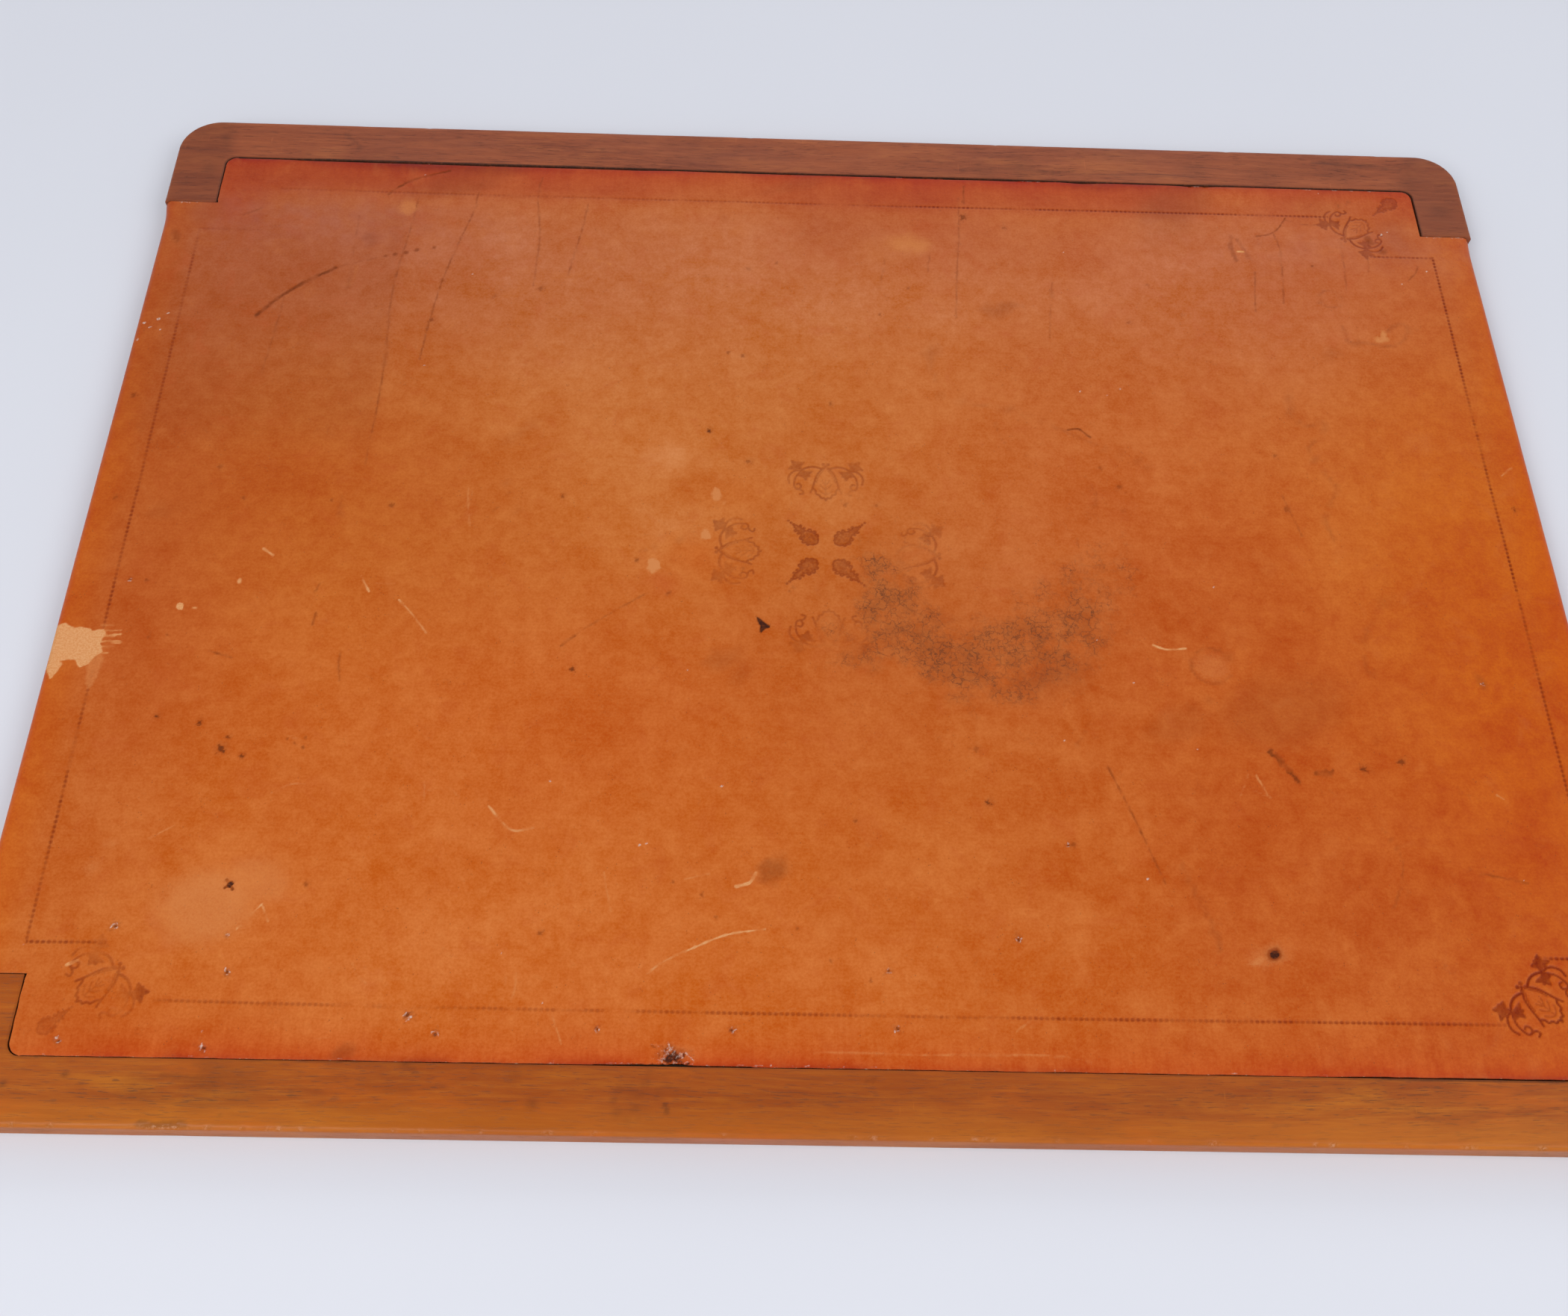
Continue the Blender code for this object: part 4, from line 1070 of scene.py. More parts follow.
# ================================================================ materials
class Shader:
    """A new material and short ways to wire its nodes. Values given to a
    method may be numbers, tuples or the outputs of other nodes."""

    def __init__(self, name):
        self.material = bpy.data.materials.new(name)
        self.material.use_nodes = True
        self.tree = self.material.node_tree

    def node(self, kind, **settings):
        node = self.tree.nodes.new("ShaderNode" + kind)
        for name, value in settings.items():
            setattr(node, name, value)
        return node

    def feed(self, socket, value):
        if isinstance(value, bpy.types.NodeSocket):
            self.tree.links.new(value, socket)
        elif socket.type == "RGBA":
            socket.default_value = (*value, 1.0)
        else:
            socket.default_value = value

    def set(self, name, value):
        self.feed(self.tree.nodes["Principled BSDF"].inputs[name], value)

    def math(self, operation, *values, clamp=False):
        node = self.node("Math", operation=operation, use_clamp=clamp)
        for socket, value in zip(node.inputs, values):
            self.feed(socket, value)
        return node.outputs[0]

    def mul(self, first, second):
        return self.math("MULTIPLY", first, second)

    def add(self, first, second, weight=None, clamp=False, operation="ADD"):
        if weight is not None:
            second = self.mul(second, weight)
        return self.math(operation, first, second, clamp=clamp)

    def sub(self, first, second, weight=None):
        return self.add(first, second, weight, operation="SUBTRACT")

    def vector(self, operation, *values, scale=None, output="Vector"):
        node = self.node("VectorMath", operation=operation)
        for socket, value in zip(node.inputs, values):
            self.feed(socket, value)
        if scale is not None:
            node.inputs["Scale"].default_value = scale
        return node.outputs[output]

    def texture(self, kind, place, shift, stretch, inputs, **settings):
        if shift:
            place = self.vector("ADD", place, shift)
        if stretch:
            place = self.vector("MULTIPLY", place, stretch)
        node = self.node(kind, **settings)
        for name, value in inputs.items():
            self.feed(node.inputs[name], value)
        self.feed(node.inputs["Vector"], place)
        return node.outputs

    def noise(self, place, scale=1.0, detail=3.0, rough=0.5, distort=0.0, shift=None,
              stretch=None, output="Fac"):
        inputs = {"Scale": scale, "Detail": detail, "Roughness": rough, "Distortion": distort}
        return self.texture("TexNoise", place, shift, stretch, inputs)[output]

    def voronoi(self, place, scale, feature="F1", shift=None):
        inputs = {"Scale": scale, "Randomness": 1.0}
        return self.texture("TexVoronoi", place, shift, None, inputs, feature=feature)["Distance"]

    def span(self, value, over, to=(0.0, 1.0), linear=False):
        """Maps the range `over` on to the range `to`, eased unless linear."""
        kind = "LINEAR" if linear else "SMOOTHSTEP"
        node = self.node("MapRange", interpolation_type=kind)
        for name, setting in zip(("Value", "From Min", "From Max", "To Min", "To Max"),
                                 (value, *over, *to)):
            self.feed(node.inputs[name], setting)
        return node.outputs["Result"]

    def mix(self, amount, under, over, strength=None):
        if strength is not None:
            amount = self.mul(amount, strength)
        node = self.node("Mix", data_type="RGBA", blend_type="MIX", clamp_factor=True)
        for k, value in ((0, amount), (6, under), (7, over)):
            self.feed(node.inputs[k], value)
        return node.outputs[2]

    def attribute(self, name):
        return self.node("Attribute", attribute_name=name).outputs

    def channels(self, name):
        """The four channels of a colour attribute."""
        outputs = self.attribute(name)
        parts = self.node("SeparateColor")
        self.feed(parts.inputs[0], outputs["Color"])
        return *parts.outputs[:3], outputs["Alpha"]

    def place(self):
        return self.node("TexCoord").outputs["Object"]

    def xyz(self, vector):
        parts = self.node("SeparateXYZ")
        self.feed(parts.inputs[0], vector)
        return parts.outputs

    def bump(self, height, distance, strength):
        node = self.node("Bump")
        for name, value in (("Distance", distance), ("Strength", strength), ("Height", height)):
            self.feed(node.inputs[name], value)
        self.set("Normal", node.outputs["Normal"])


def tint(colour, factor):
    return tuple(channel * factor for channel in colour)


def leather_material():
    # linear colours
    red_dye, yellow_dye = (0.46, 0.066, 0.008), (0.60, 0.180, 0.040)
    speck_brown, painted_sheen_colour = (0.13, 0.030, 0.008), (0.40, 0.14, 0.11)
    smoke_brown, craze_brown = (0.265, 0.066, 0.012), (0.120, 0.032, 0.010)
    tooled_brown = (0.158, 0.008, 0.001)
    stain, ink = (0.195, 0.034, 0.006), (0.050, 0.013, 0.007)
    rubbed, bare, bare_deep = (0.62, 0.220, 0.066), (0.70, 0.34, 0.14), (0.64, 0.255, 0.085)
    fibre_dark, fibre_light = (0.42, 0.21, 0.14), (0.68, 0.50, 0.41)
    edge_dark, edge_light = (0.12, 0.035, 0.014), (0.62, 0.40, 0.24)

    mat = Shader("worn_tan_leather")
    pos = mat.place()
    tone = mat.attribute("Tone")["Color"]
    tooled, inked, scuffed, cracked = mat.channels("MarkA")
    painted_sheen_mask, rim, streaked, torn = mat.channels("MarkB")

    # skin: soft clouding, the fine tread of the grain, and faint lines left
    # across the hide by the glazing machine
    cloud = mat.noise(pos, scale=24, detail=6, rough=0.62, distort=0.5)
    blots = mat.noise(pos, shift=(3.1, 1.7, 0.2), scale=110, detail=5, rough=0.66, distort=0.3)
    grain = mat.noise(pos, scale=640, detail=3, rough=0.65)
    lines = mat.noise(pos, stretch=(14.0, 620.0, 14.0), detail=2, rough=0.6)
    uprights = mat.noise(pos, stretch=(330.0, 12.0, 12.0), detail=3, rough=0.6)
    value = mat.add(mat.span(cloud, over=(0.25, 0.75), to=(-0.13, 0.12)),
                    mat.span(blots, over=(0.22, 0.78), to=(-0.13, 0.10)))
    value = mat.add(value, mat.span(grain, over=(0.25, 0.75), to=(-0.13, 0.11)))
    value = mat.add(value, mat.span(lines, over=(0.3, 0.7), to=(-0.022, 0.022)))
    # blotchier towards the front right, where the hide has been handled most
    parts = mat.xyz(pos)
    blotch = mat.noise(pos, shift=(0.4, 6.1, 0), scale=38, detail=4, rough=0.6, distort=0.6)
    handled = mat.mul(mat.span(parts["X"], over=(-0.02, 0.16)),
                      mat.span(parts["Y"], over=(0.06, -0.06)))
    handled = mat.span(handled, over=(0.0, 1.0), to=(0.30, 1.0), linear=True)
    value = mat.add(value, mat.span(blotch, over=(0.25, 0.75), to=(-0.13, 0.11)), weight=handled)
    value = mat.add(value, mat.span(uprights, over=(0.35, 0.68), to=(-0.09, 0.05)),
                    weight=streaked)
    # where the dye took less, green and blue rise faster than red
    gain, lift, least = (0.42, 1.22, 3.3), (1.0, 1.0, 1.0), (0.25, 0.20, 0.12)
    shade = mat.vector("MAXIMUM", mat.vector("MULTIPLY_ADD", value, gain, lift), least)
    base = mat.vector("MULTIPLY", tone, shade)
    # redder and yellower drifts inside that clouding
    hue = mat.noise(pos, shift=(7.7, 2.2, 0), scale=42, detail=5, rough=0.6, distort=0.8)
    base = mat.mix(mat.span(hue, over=(0.50, 0.78), to=(0, 0.26)), base, red_dye)
    base = mat.mix(mat.span(hue, over=(0.48, 0.22), to=(0, 0.20)), base, yellow_dye)
    # peppering: pores and old specks
    pores = mat.voronoi(pos, scale=420)
    pick = mat.noise(pos, shift=(1.3, 9.2, 0), scale=130, detail=2, rough=0.5)
    speck = mat.mul(mat.span(pores, over=(0.24, 0.06)), mat.span(pick, over=(0.56, 0.66)))
    base = mat.mix(speck, base, speck_brown, strength=0.45)
    # painted sheen: a pale pinkish haze painted into the colour, standing for the reflection of the
    # bright surroundings near the back
    painted_sheen_haze = mat.noise(pos, scale=60, detail=5, rough=0.65)
    base = mat.mix(painted_sheen_mask, base, painted_sheen_colour, strength=mat.span(painted_sheen_haze, over=(0.3, 0.7), to=(0.05, 0.26)))
    # crazing: a fine broken net of dark lines in a brown smoke
    warp = mat.noise(pos, scale=210, detail=3, rough=0.6, output="Color")
    warped = mat.vector("ADD", pos, mat.vector("SCALE", warp, scale=0.0085))
    fine_net = mat.voronoi(warped, scale=225, feature="DISTANCE_TO_EDGE")
    wide_net = mat.voronoi(warped, shift=(5.0, 3.0, 0), scale=128, feature="DISTANCE_TO_EDGE")
    gate = mat.noise(pos, shift=(4.0, 8.0, 0), scale=120, detail=5, rough=0.7)
    spread_gate = mat.noise(pos, shift=(2.0, 5.0, 0), scale=60, detail=4, rough=0.65)
    fine_net = mat.mul(mat.span(fine_net, over=(0.090, 0.018)), mat.span(gate, over=(0.42, 0.58)))
    wide_net = mat.mul(mat.span(wide_net, over=(0.066, 0.012)), mat.span(gate, over=(0.62, 0.40)))
    net = mat.math("MAXIMUM", fine_net, wide_net)
    uneven = mat.span(spread_gate, over=(0.3, 0.7), to=(-0.42, 0.32), linear=True)
    where = mat.span(mat.add(cracked, uneven), over=(0.14, 0.80))
    net = mat.mul(net, where)
    smoke = mat.mul(mat.span(cracked, over=(0.10, 1.0), to=(0.0, 0.46)),
                    mat.span(spread_gate, over=(0.32, 0.62), to=(0.12, 1.0)))
    base = mat.mix(smoke, base, smoke_brown)
    base = mat.mix(net, base, craze_brown,
                   strength=mat.span(spread_gate, over=(0.35, 0.62), to=(0.34, 0.74)))
    # tooling, darkened by the hot brass
    scorch = mat.noise(pos, scale=900, detail=2, rough=0.5)
    scorched = mat.mul(tooled, mat.span(scorch, over=(0.25, 0.75), to=(0.78, 1.0)))
    base = mat.mix(scorched, base, tooled_brown, strength=0.95)
    # stains and ink: browner where light, nearly black where strong
    ragged = mat.noise(pos, scale=520, detail=3, rough=0.6)
    darkened = mat.mul(inked, mat.span(ragged, over=(0.25, 0.7), to=(0.80, 1.08)))
    base = mat.mix(mat.math("MULTIPLY", darkened, 1.0, clamp=True), base,
                   mat.mix(mat.span(inked, over=(0.5, 0.97)), stain, ink))
    # scuffs through to the bare hide
    fuzz = mat.noise(pos, scale=760, detail=4, rough=0.7)
    uneven = mat.span(fuzz, over=(0.25, 0.75), to=(-0.16, 0.14), linear=True)
    scuff = mat.span(mat.add(scuffed, uneven), over=(0.02, 0.80))
    scuff = mat.mul(scuff, mat.span(scuffed, over=(0.01, 0.10)))
    scuff = mat.mul(scuff, mat.span(inked, over=(0.60, 0.25)))
    bare_hide = mat.mix(mat.span(fuzz, over=(0.4, 0.62)), bare, bare_deep)
    base = mat.mix(scuff, base, mat.mix(mat.span(scuffed, over=(0.50, 0.95)), rubbed, bare_hide))
    # torn fibres and crumbs
    uneven = mat.span(fuzz, over=(0.25, 0.75), to=(-0.25, 0.20), linear=True)
    fibres = mat.mix(mat.span(fuzz, over=(0.35, 0.65)), fibre_dark, fibre_light)
    base = mat.mix(mat.span(mat.add(torn, uneven), over=(0.12, 0.62)), base, fibres, strength=0.88)
    # raw cut edge
    edge = mat.noise(pos, stretch=(1.0, 1.0, 3.0), scale=480, detail=3, rough=0.6)
    base = mat.mix(rim, base, mat.mix(mat.span(edge, over=(0.58, 0.72)), edge_dark, edge_light),
                   strength=mat.span(edge, over=(0.35, 0.65), to=(0.25, 0.75)))
    mat.set("Base Color", base)

    rough = mat.span(cloud, over=(0.25, 0.75), to=(0.40, 0.52))
    rough = mat.add(rough, mat.span(grain, over=(0.3, 0.7), to=(-0.03, 0.04)))
    rough = mat.sub(rough, scorched, weight=0.08)
    rough = mat.add(rough, scuff, weight=0.30)
    rough = mat.add(rough, where, weight=0.10, clamp=True)
    mat.set("Roughness", rough)
    sheen = mat.add(mat.span(scuff, over=(0.0, 0.6), to=(0.20, 0.10)), tooled, weight=-0.10)
    sheen = mat.mul(sheen, mat.span(inked, over=(0.1, 0.8), to=(1.0, 0.35)))
    mat.set("Specular IOR Level", sheen)
    mat.set("Specular Tint", (1.0, 0.86, 0.80))

    # grain of the skin: small pebbles, hair pores, and the glazing lines
    cells = mat.voronoi(pos, scale=760, feature="SMOOTH_F1")
    folds = mat.noise(pos, scale=240, detail=4, rough=0.62)
    height = mat.add(mat.mul(cells, 0.55), folds, weight=0.9)
    height = mat.add(height, lines, weight=0.30)
    height = mat.sub(height, speck, weight=0.7)
    height = mat.sub(height, net, weight=0.9)
    height = mat.sub(height, mat.mul(scuff, fuzz), weight=0.5)
    mat.bump(height, distance=0.00011, strength=0.75)
    return mat.material


def add_piece(mesh, replaced):
    piece = bpy.data.objects.new(mesh.name, mesh)
    bpy.context.scene.collection.objects.link(piece)
    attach(piece, "root")
    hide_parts(replaced)


hide_mesh.materials.append(leather_material())
add_piece(hide_mesh, "leather_hide")

# ==================================================================== rails
GROOVE_DEPTH, GROOVE_LOW, GROOVE_HIGH, GROOVE_HALF = 0.0093, 0.0072, 0.0128, 0.4503
NO_GROOVE = 0.00002
ARRIS_R = 0.003                   # rounding of the outer top arris


def rail_columns(step):
    """Stations round one rail, from the end of the right return to the end of
    the left one: outer x, y, inner x, y, outward x, y, and the distance from the
    end face (1 stands for far away)."""
    columns = []
    length = HALF_D - OUTER_R - RETURN_Y
    count = int(length / step) + 2
    for away in [0.0, 0.00035, 0.0008, *np.linspace(0.0018, length, count)[:-1]]:
        inner_y = RETURN_Y + away / length * (INNER_Y - INNER_R - RETURN_Y)
        columns.append((HALF_W, RETURN_Y + away, RETURN_X, inner_y, 1, 0, away))
    corner_steps = 36
    for k in range(corner_steps):
        turn = math.pi / 2 * k / corner_steps
        cos, sin = math.cos(turn), math.sin(turn)
        columns.append((HALF_W - OUTER_R + OUTER_R * cos, HALF_D - OUTER_R + OUTER_R * sin,
                        RETURN_X - INNER_R + INNER_R * cos, INNER_Y - INNER_R + INNER_R * sin,
                        cos, sin, 1.0))
    outer_x, inner_x = HALF_W - OUTER_R, RETURN_X - INNER_R
    count = int(2 * outer_x / step)
    count += count % 2
    for k in range(count // 2 + 1):
        t = 1 - 2 * k / count
        columns.append((outer_x * t, HALF_D, inner_x * t, INNER_Y, 0, 1, 1.0))
    columns = np.array(columns)
    return np.concatenate([columns, columns[-2::-1] * (-1, 1, -1, 1, -1, 1, 1)])


def rail_mesh(name, side, step, seed, nicks, dents, strokes, top_rows, lip):
    """The section is swept round the columns. side is 1 for the rear rail and
    -1 for its mirror at the front. lip sets the dirt along the inner top edge:
    least, bias, then on the long part extra, x from, from full, full to, to."""
    columns = rail_columns(step)
    outer, inner, out, away = columns[:, :2], columns[:, 2:4], columns[:, 4:6], columns[:, 6]
    count = len(columns)
    on_long = np.abs(inner[:, 1] - INNER_Y) < 1e-5
    grooved = on_long & (np.abs(inner[:, 0]) < GROOVE_HALF)
    groove = inner + out * np.where(grooved, GROOVE_DEPTH, NO_GROOVE)[:, None]
    out3 = np.concatenate([out, np.zeros((count, 1))], 1)
    up = np.zeros((count, 3)) + np.array([0, 0, 1.0])
    rows = []      # points, normals, wear

    def row(plan, z, normal, wear=0.0):
        points = np.concatenate([plan, np.full((count, 1), z)], 1)
        rows.append((points, normal, np.full(count, wear)))

    row(outer - out * 0.0012, 0.0, out3 * 0.4 - up, 0.2)
    row(outer - out * 0.0003, 0.00035, out3 - up, 0.5)
    row(outer, 0.0012, out3, 0.4)
    for z in (0.0035, 0.0065, 0.0095, 0.0125, 0.0152):
        row(outer, z, out3)
    # the outer arris rounds over; the wear given to its rows, highest at mid-turn, is partly a
    # painted highlight
    for k in range(8):
        turn = math.pi / 2 * k / 7
        cos, sin = math.cos(turn), math.sin(turn)
        row(outer - out * (ARRIS_R * (1 - cos)), THICK - ARRIS_R + ARRIS_R * sin,
            out3 * cos + up * sin, 0.35 + 0.65 * math.sin(2 * turn) ** 1.5)
    start, end = outer - out * ARRIS_R, inner + out * 0.0007
    for k in range(1, top_rows):
        t = k / top_rows
        row(start + (end - start) * t, THICK, up, 0.18 * max(0, 1 - t * 5))
    row(start + (end - start) * 0.968, THICK, up)
    lip_row = len(rows)
    row(end, THICK, up, 0.15)
    row(inner + out * 0.00025, THICK - 0.0002, up - out3, 0.3)
    row(inner, THICK - 0.0008, -out3, 0.1)
    row(inner, 0.0160, -out3)
    row(inner, GROOVE_HIGH + 0.0001, -out3)
    row(groove, GROOVE_HIGH, -up)
    row(groove, GROOVE_LOW, up)
    row(inner, GROOVE_LOW - 0.0001, -out3)
    row(inner, 0.0040, -out3)
    row(inner, 0.0005, -out3, 0.1)
    row(inner + out * 0.0004, 0.0, -up, 0.1)
    start, end = inner + out * 0.0004, outer - out * 0.0012
    for k in (1, 2, 3):
        row(start + (end - start) * k / 4, 0.0, -up)
    points, normals, wear = (np.stack(part, 1) for part in zip(*rows))
    normals = normals / np.maximum(np.linalg.norm(normals, axis=2), 1e-9)[..., None]

    # dirt along the lip, and the inner face below it painted nearly black: painted shade for the
    # gap by the leather, together with the dirt packed there
    least, bias, extra, run_from, full_from, full_to, run_to = lip
    x, y = inner.T * MM
    dirt_and_gap_shade = least + 0.5 * np.clip(clouds(x, y, 22, seed + 3) + bias, 0, 1)
    run = extra * ease(run_from, full_from, x) * ease(run_to, full_to, x)
    dirt_and_gap_shade = np.clip(dirt_and_gap_shade + np.where(on_long, run, 0.0), 0, 1)
    lip_dirt_and_gap_shade = np.zeros(wear.shape)
    lip_dirt_and_gap_shade[:, lip_row] = dirt_and_gap_shade
    lip_dirt_and_gap_shade[:, lip_row + 1:lip_row + 10] = 0.95
    if side < 0:
        lip_dirt_and_gap_shade[:, lip_row + 1] = 0.35 * dirt_and_gap_shade + 0.15

    points[:, :, 1] *= side
    normals[:, :, 1] *= side
    # end faces of the returns: arrises eased
    eased = np.where(away < 0.0002, 0.00035, np.where(away < 0.0005, 0.00012, 0.0))
    points -= normals * eased[:, None, None] * (np.abs(normals[..., 2:]) > 0.5)
    # hand-planed top: barely out of true
    x, y = points[..., 0] * MM, points[..., 1] * MM
    topness = np.clip(normals[..., 2], 0, 1) * (points[..., 2] > THICK / 2)
    points[..., 2] += topness * (0.05 * clouds(x, y, 60, seed, 2) - 0.05) / MM
    # the arris is knocked back unevenly
    level_share = np.clip(np.abs(normals[..., :2]).max(-1), 0, 1)
    arris = np.clip(normals[..., 2], 0.05, 1) * level_share
    on_outer = ((np.abs(points[..., 1]) > HALF_D - 0.006)
                | (np.abs(points[..., 0]) > HALF_W - 0.006))
    rub = 0.28 * np.clip(clouds(x, y * 0 + 5, 26, seed + 9) + 0.15, 0, 1) / MM
    points -= normals * (arris * on_outer * rub)[..., None]
    scar = np.zeros(wear.shape)
    on_face = on_outer * (np.sign(y) == side) * (np.abs(y) > (HALF_D - 0.006) * MM)
    for nick_x, width, depth in nicks:
        fall = np.exp(-((x - nick_x) / width) ** 2) * np.clip(arris * 1.6, 0, 1) * on_face
        points -= normals * (fall * depth / MM)[..., None]
        scar = np.maximum(scar, np.clip(fall * min(1.0, depth * 2.2), 0, 1))
    stain = np.zeros(wear.shape)
    for dent_x, dent_y, radius, depth, darkness in dents:
        fall = np.exp(-(((x - dent_x) ** 2 + (y - dent_y) ** 2) / radius ** 2)) * topness
        points[..., 2] -= fall * depth / MM
        stain = np.maximum(stain, fall * darkness)
    for width, darkness, *path in strokes:
        distance = path_distance(x, y, smooth_path(path, 1.5))
        distance = distance + 0.5 * noise(x / 2.5, y / 2.5, seed + 31)
        mark = ease(width / 2 + 0.9, width / 2 - 0.6, distance) * darkness * topness
        stain = np.maximum(stain, mark)
    points[..., 2] = np.clip(points[..., 2], 0.0, THICK)

    grid = np.arange(wear.size).reshape(wear.shape)
    following = np.roll(grid, -1, 1)
    quads = np.stack([grid[:-1], grid[1:], following[1:], following[:-1]], -1).reshape(-1, 4)
    ends = [grid[0], grid[-1][::-1]]
    if side < 0:
        quads = quads[:, ::-1]
        ends = [end[::-1] for end in ends]
    # the end faces are closed with a fan about their middle
    points = points.reshape(-1, 3)
    tris = np.concatenate([
        np.stack([end, np.roll(end, -1), np.full(len(end), len(points) + k)], 1)
        for k, end in enumerate(ends)])
    points = np.concatenate([points, [points[end].mean(0) for end in ends]])
    mesh = mesh_from(name, points, quads, tris)
    mesh.set_sharp_from_angle(angle=math.radians(38))
    masks = [np.pad(mask.reshape(-1), (0, 2)) for mask in (wear, scar, stain, lip_dirt_and_gap_shade)]
    colour_attribute(mesh, "WearAndPaintedLight", np.stack(masks, 1))
    # make sure it faces outwards: its signed volume is positive
    first, second, third = points[np.concatenate([quads[:, :3], quads[:, [0, 2, 3]], tris])
                                  ].transpose(1, 0, 2)
    if (first * np.cross(second, third)).sum() < 0:
        mesh.flip_normals()
    return mesh


def walnut_material(name, light, mid, deep, pore, gloss, flecks, seed, ends_dark, front):
    """Old polished walnut; the grain runs along X through rail and returns."""
    gold_light = tuple(c * k for c, k in zip(light, (1.04, 1.12, 0.9)))
    bruise, dirt_and_gap_shade = (0.58, 0.34, 0.22), (0.030, 0.012, 0.007)
    mat = Shader(name)
    pos = mat.vector("ADD", mat.place(), (seed * 1.37, seed * 0.61, seed * 0.23))
    edge, scar, stain, lip_dirt_and_gap_shade = mat.channels("WearAndPaintedLight")
    # a slow wander bends the long bands of figure
    bend = mat.noise(pos, stretch=(2.4, 5.0, 5.0), detail=2, rough=0.5, output="Color")
    bent = mat.vector("ADD", pos, mat.vector("MULTIPLY", bend, (0.0, 0.030, 0.030)))
    figure = mat.noise(bent, stretch=(7.0, 48.0, 48.0), detail=5, rough=0.66)
    streak = mat.noise(bent, stretch=(20.0, 330.0, 330.0), detail=5, rough=0.68)
    fine = mat.noise(pos, stretch=(22.0, 1700.0, 1700.0), detail=3, rough=0.6)
    cloud = mat.noise(pos, stretch=(7.0, 26.0, 26.0), detail=4, rough=0.6)
    dash = mat.noise(bent, stretch=(95.0, 1150.0, 1150.0), detail=3, rough=0.6)
    gold = mat.noise(pos, shift=(0.9, 0.4, 0.2), stretch=(13.0, 40.0, 40.0), detail=4, rough=0.6)
    colour = mat.mix(mat.span(figure, over=(0.30, 0.68)), deep, mid)
    colour = mat.mix(mat.span(streak, over=(0.42, 0.72), to=(0.0, 0.55)), colour, light)
    colour = mat.mix(mat.span(gold, over=(0.50, 0.72), to=(0.0, 0.55)), colour, gold_light)
    colour = mat.mix(mat.span(cloud, over=(0.52, 0.30), to=(0.0, 0.50)), colour, deep)
    colour = mat.mix(mat.span(cloud, over=(0.58, 0.78), to=(0.0, 0.40)), colour, light)
    colour = mat.mix(mat.span(fine, over=(0.35, 0.70), to=(0.0, 0.30)), colour, deep)
    pores = mat.mul(mat.span(dash, over=(0.555, 0.66)),
                    mat.span(figure, over=(0.72, 0.35), to=(0.30, 1.0)))
    colour = mat.mix(pores, colour, pore, strength=flecks)
    # long dark strands here and there
    strand = mat.noise(bent, shift=(0.7, 0.3, 0.1), stretch=(8.0, 230.0, 230.0), detail=4,
                       rough=0.6)
    colour = mat.mix(mat.span(strand, over=(0.60, 0.76), to=(0.0, 0.55)), colour, pore)
    # rubbed edges, stains and scars; along the outer arris the rubbed lightening is also a painted
    # highlight
    colour = mat.mix(edge, colour, tint(light, 1.25), strength=0.26)
    scuff = mat.noise(pos, scale=420, detail=4, rough=0.7)
    colour = mat.mix(stain, colour, tint(pore, 0.35),
                     strength=mat.span(scuff, over=(0.2, 0.7), to=(0.6, 1.0)))
    colour = mat.mix(scar, colour,
                     mat.mix(mat.span(scuff, over=(0.46, 0.60)), tint(pore, 1.2), bruise),
                     strength=mat.span(scuff, over=(0.3, 0.7), to=(0.5, 0.95)))
    if front:
        # handled paler and yellower along the outer half
        outer_yellow, inner_brown = (0.54, 0.160, 0.009), (0.33, 0.062, 0.004)
        middle_red, glow = (0.330, 0.052, 0.002), (0.520, 0.105, 0.002)
        wavering = mat.vector("MULTIPLY", bend, (0.0, 0.012, 0.0))
        parts = mat.xyz(mat.vector("ADD", mat.place(), wavering))
        colour = mat.mix(mat.span(parts["Y"], over=(-0.370, -0.382), to=(0.0, 0.34)), colour,
                         outer_yellow)
        colour = mat.mix(mat.span(parts["Y"], over=(-0.368, -0.356), to=(0.0, 0.22)), colour,
                         inner_brown)
        # redder along the middle, with an orange glow in the polish here and there
        middle = mat.mul(mat.span(parts["X"], over=(-0.330, -0.180)),
                         mat.span(parts["X"], over=(0.330, 0.150)))
        colour = mat.mix(middle, colour, middle_red, strength=0.26)
        colour = mat.mix(mat.span(gold, over=(0.47, 0.30), to=(0.0, 0.42)), colour, glow)
    # fine scratches across the polish
    hair = mat.noise(pos, stretch=(900.0, 40.0, 40.0), detail=2, rough=0.5)
    colour = mat.mix(mat.span(hair, over=(0.70, 0.78)), colour, tint(light, 1.5),
                     strength=mat.span(cloud, over=(0.5, 0.65), to=(0.0, 0.35)))
    # dirt and old polish packed along the joint with the leather, and the painted shade of the gap
    # down the inner face
    colour = mat.mix(lip_dirt_and_gap_shade, colour, dirt_and_gap_shade,
                     strength=mat.span(scuff, over=(0.25, 0.6), to=(0.7, 1.0)))
    out = mat.math("ABSOLUTE", mat.xyz(mat.place())["X"])
    ends = mat.span(out, over=(RETURN_X - 0.010, RETURN_X + 0.004), to=(0.0, ends_dark))
    colour = mat.mix(ends, colour, tint(deep, 0.45))
    mat.set("Base Color", colour)
    rough = mat.add(mat.span(cloud, over=(0.3, 0.7), to=(gloss, gloss + 0.14)), scar, weight=0.35)
    mat.set("Roughness", mat.add(rough, pores, weight=0.15, clamp=True))
    mat.set("Specular IOR Level", 0.20)
    mat.set("Coat Weight", 0.08)
    mat.set("Coat Roughness", 0.30)
    height = mat.add(mat.mul(streak, 0.35), fine, weight=0.25)
    height = mat.sub(height, pores, weight=0.8)
    height = mat.add(height, cloud, weight=0.5)
    height = mat.sub(height, mat.mul(scar, scuff), weight=1.2)
    mat.bump(height, distance=0.00012, strength=0.8)
    return mat.material


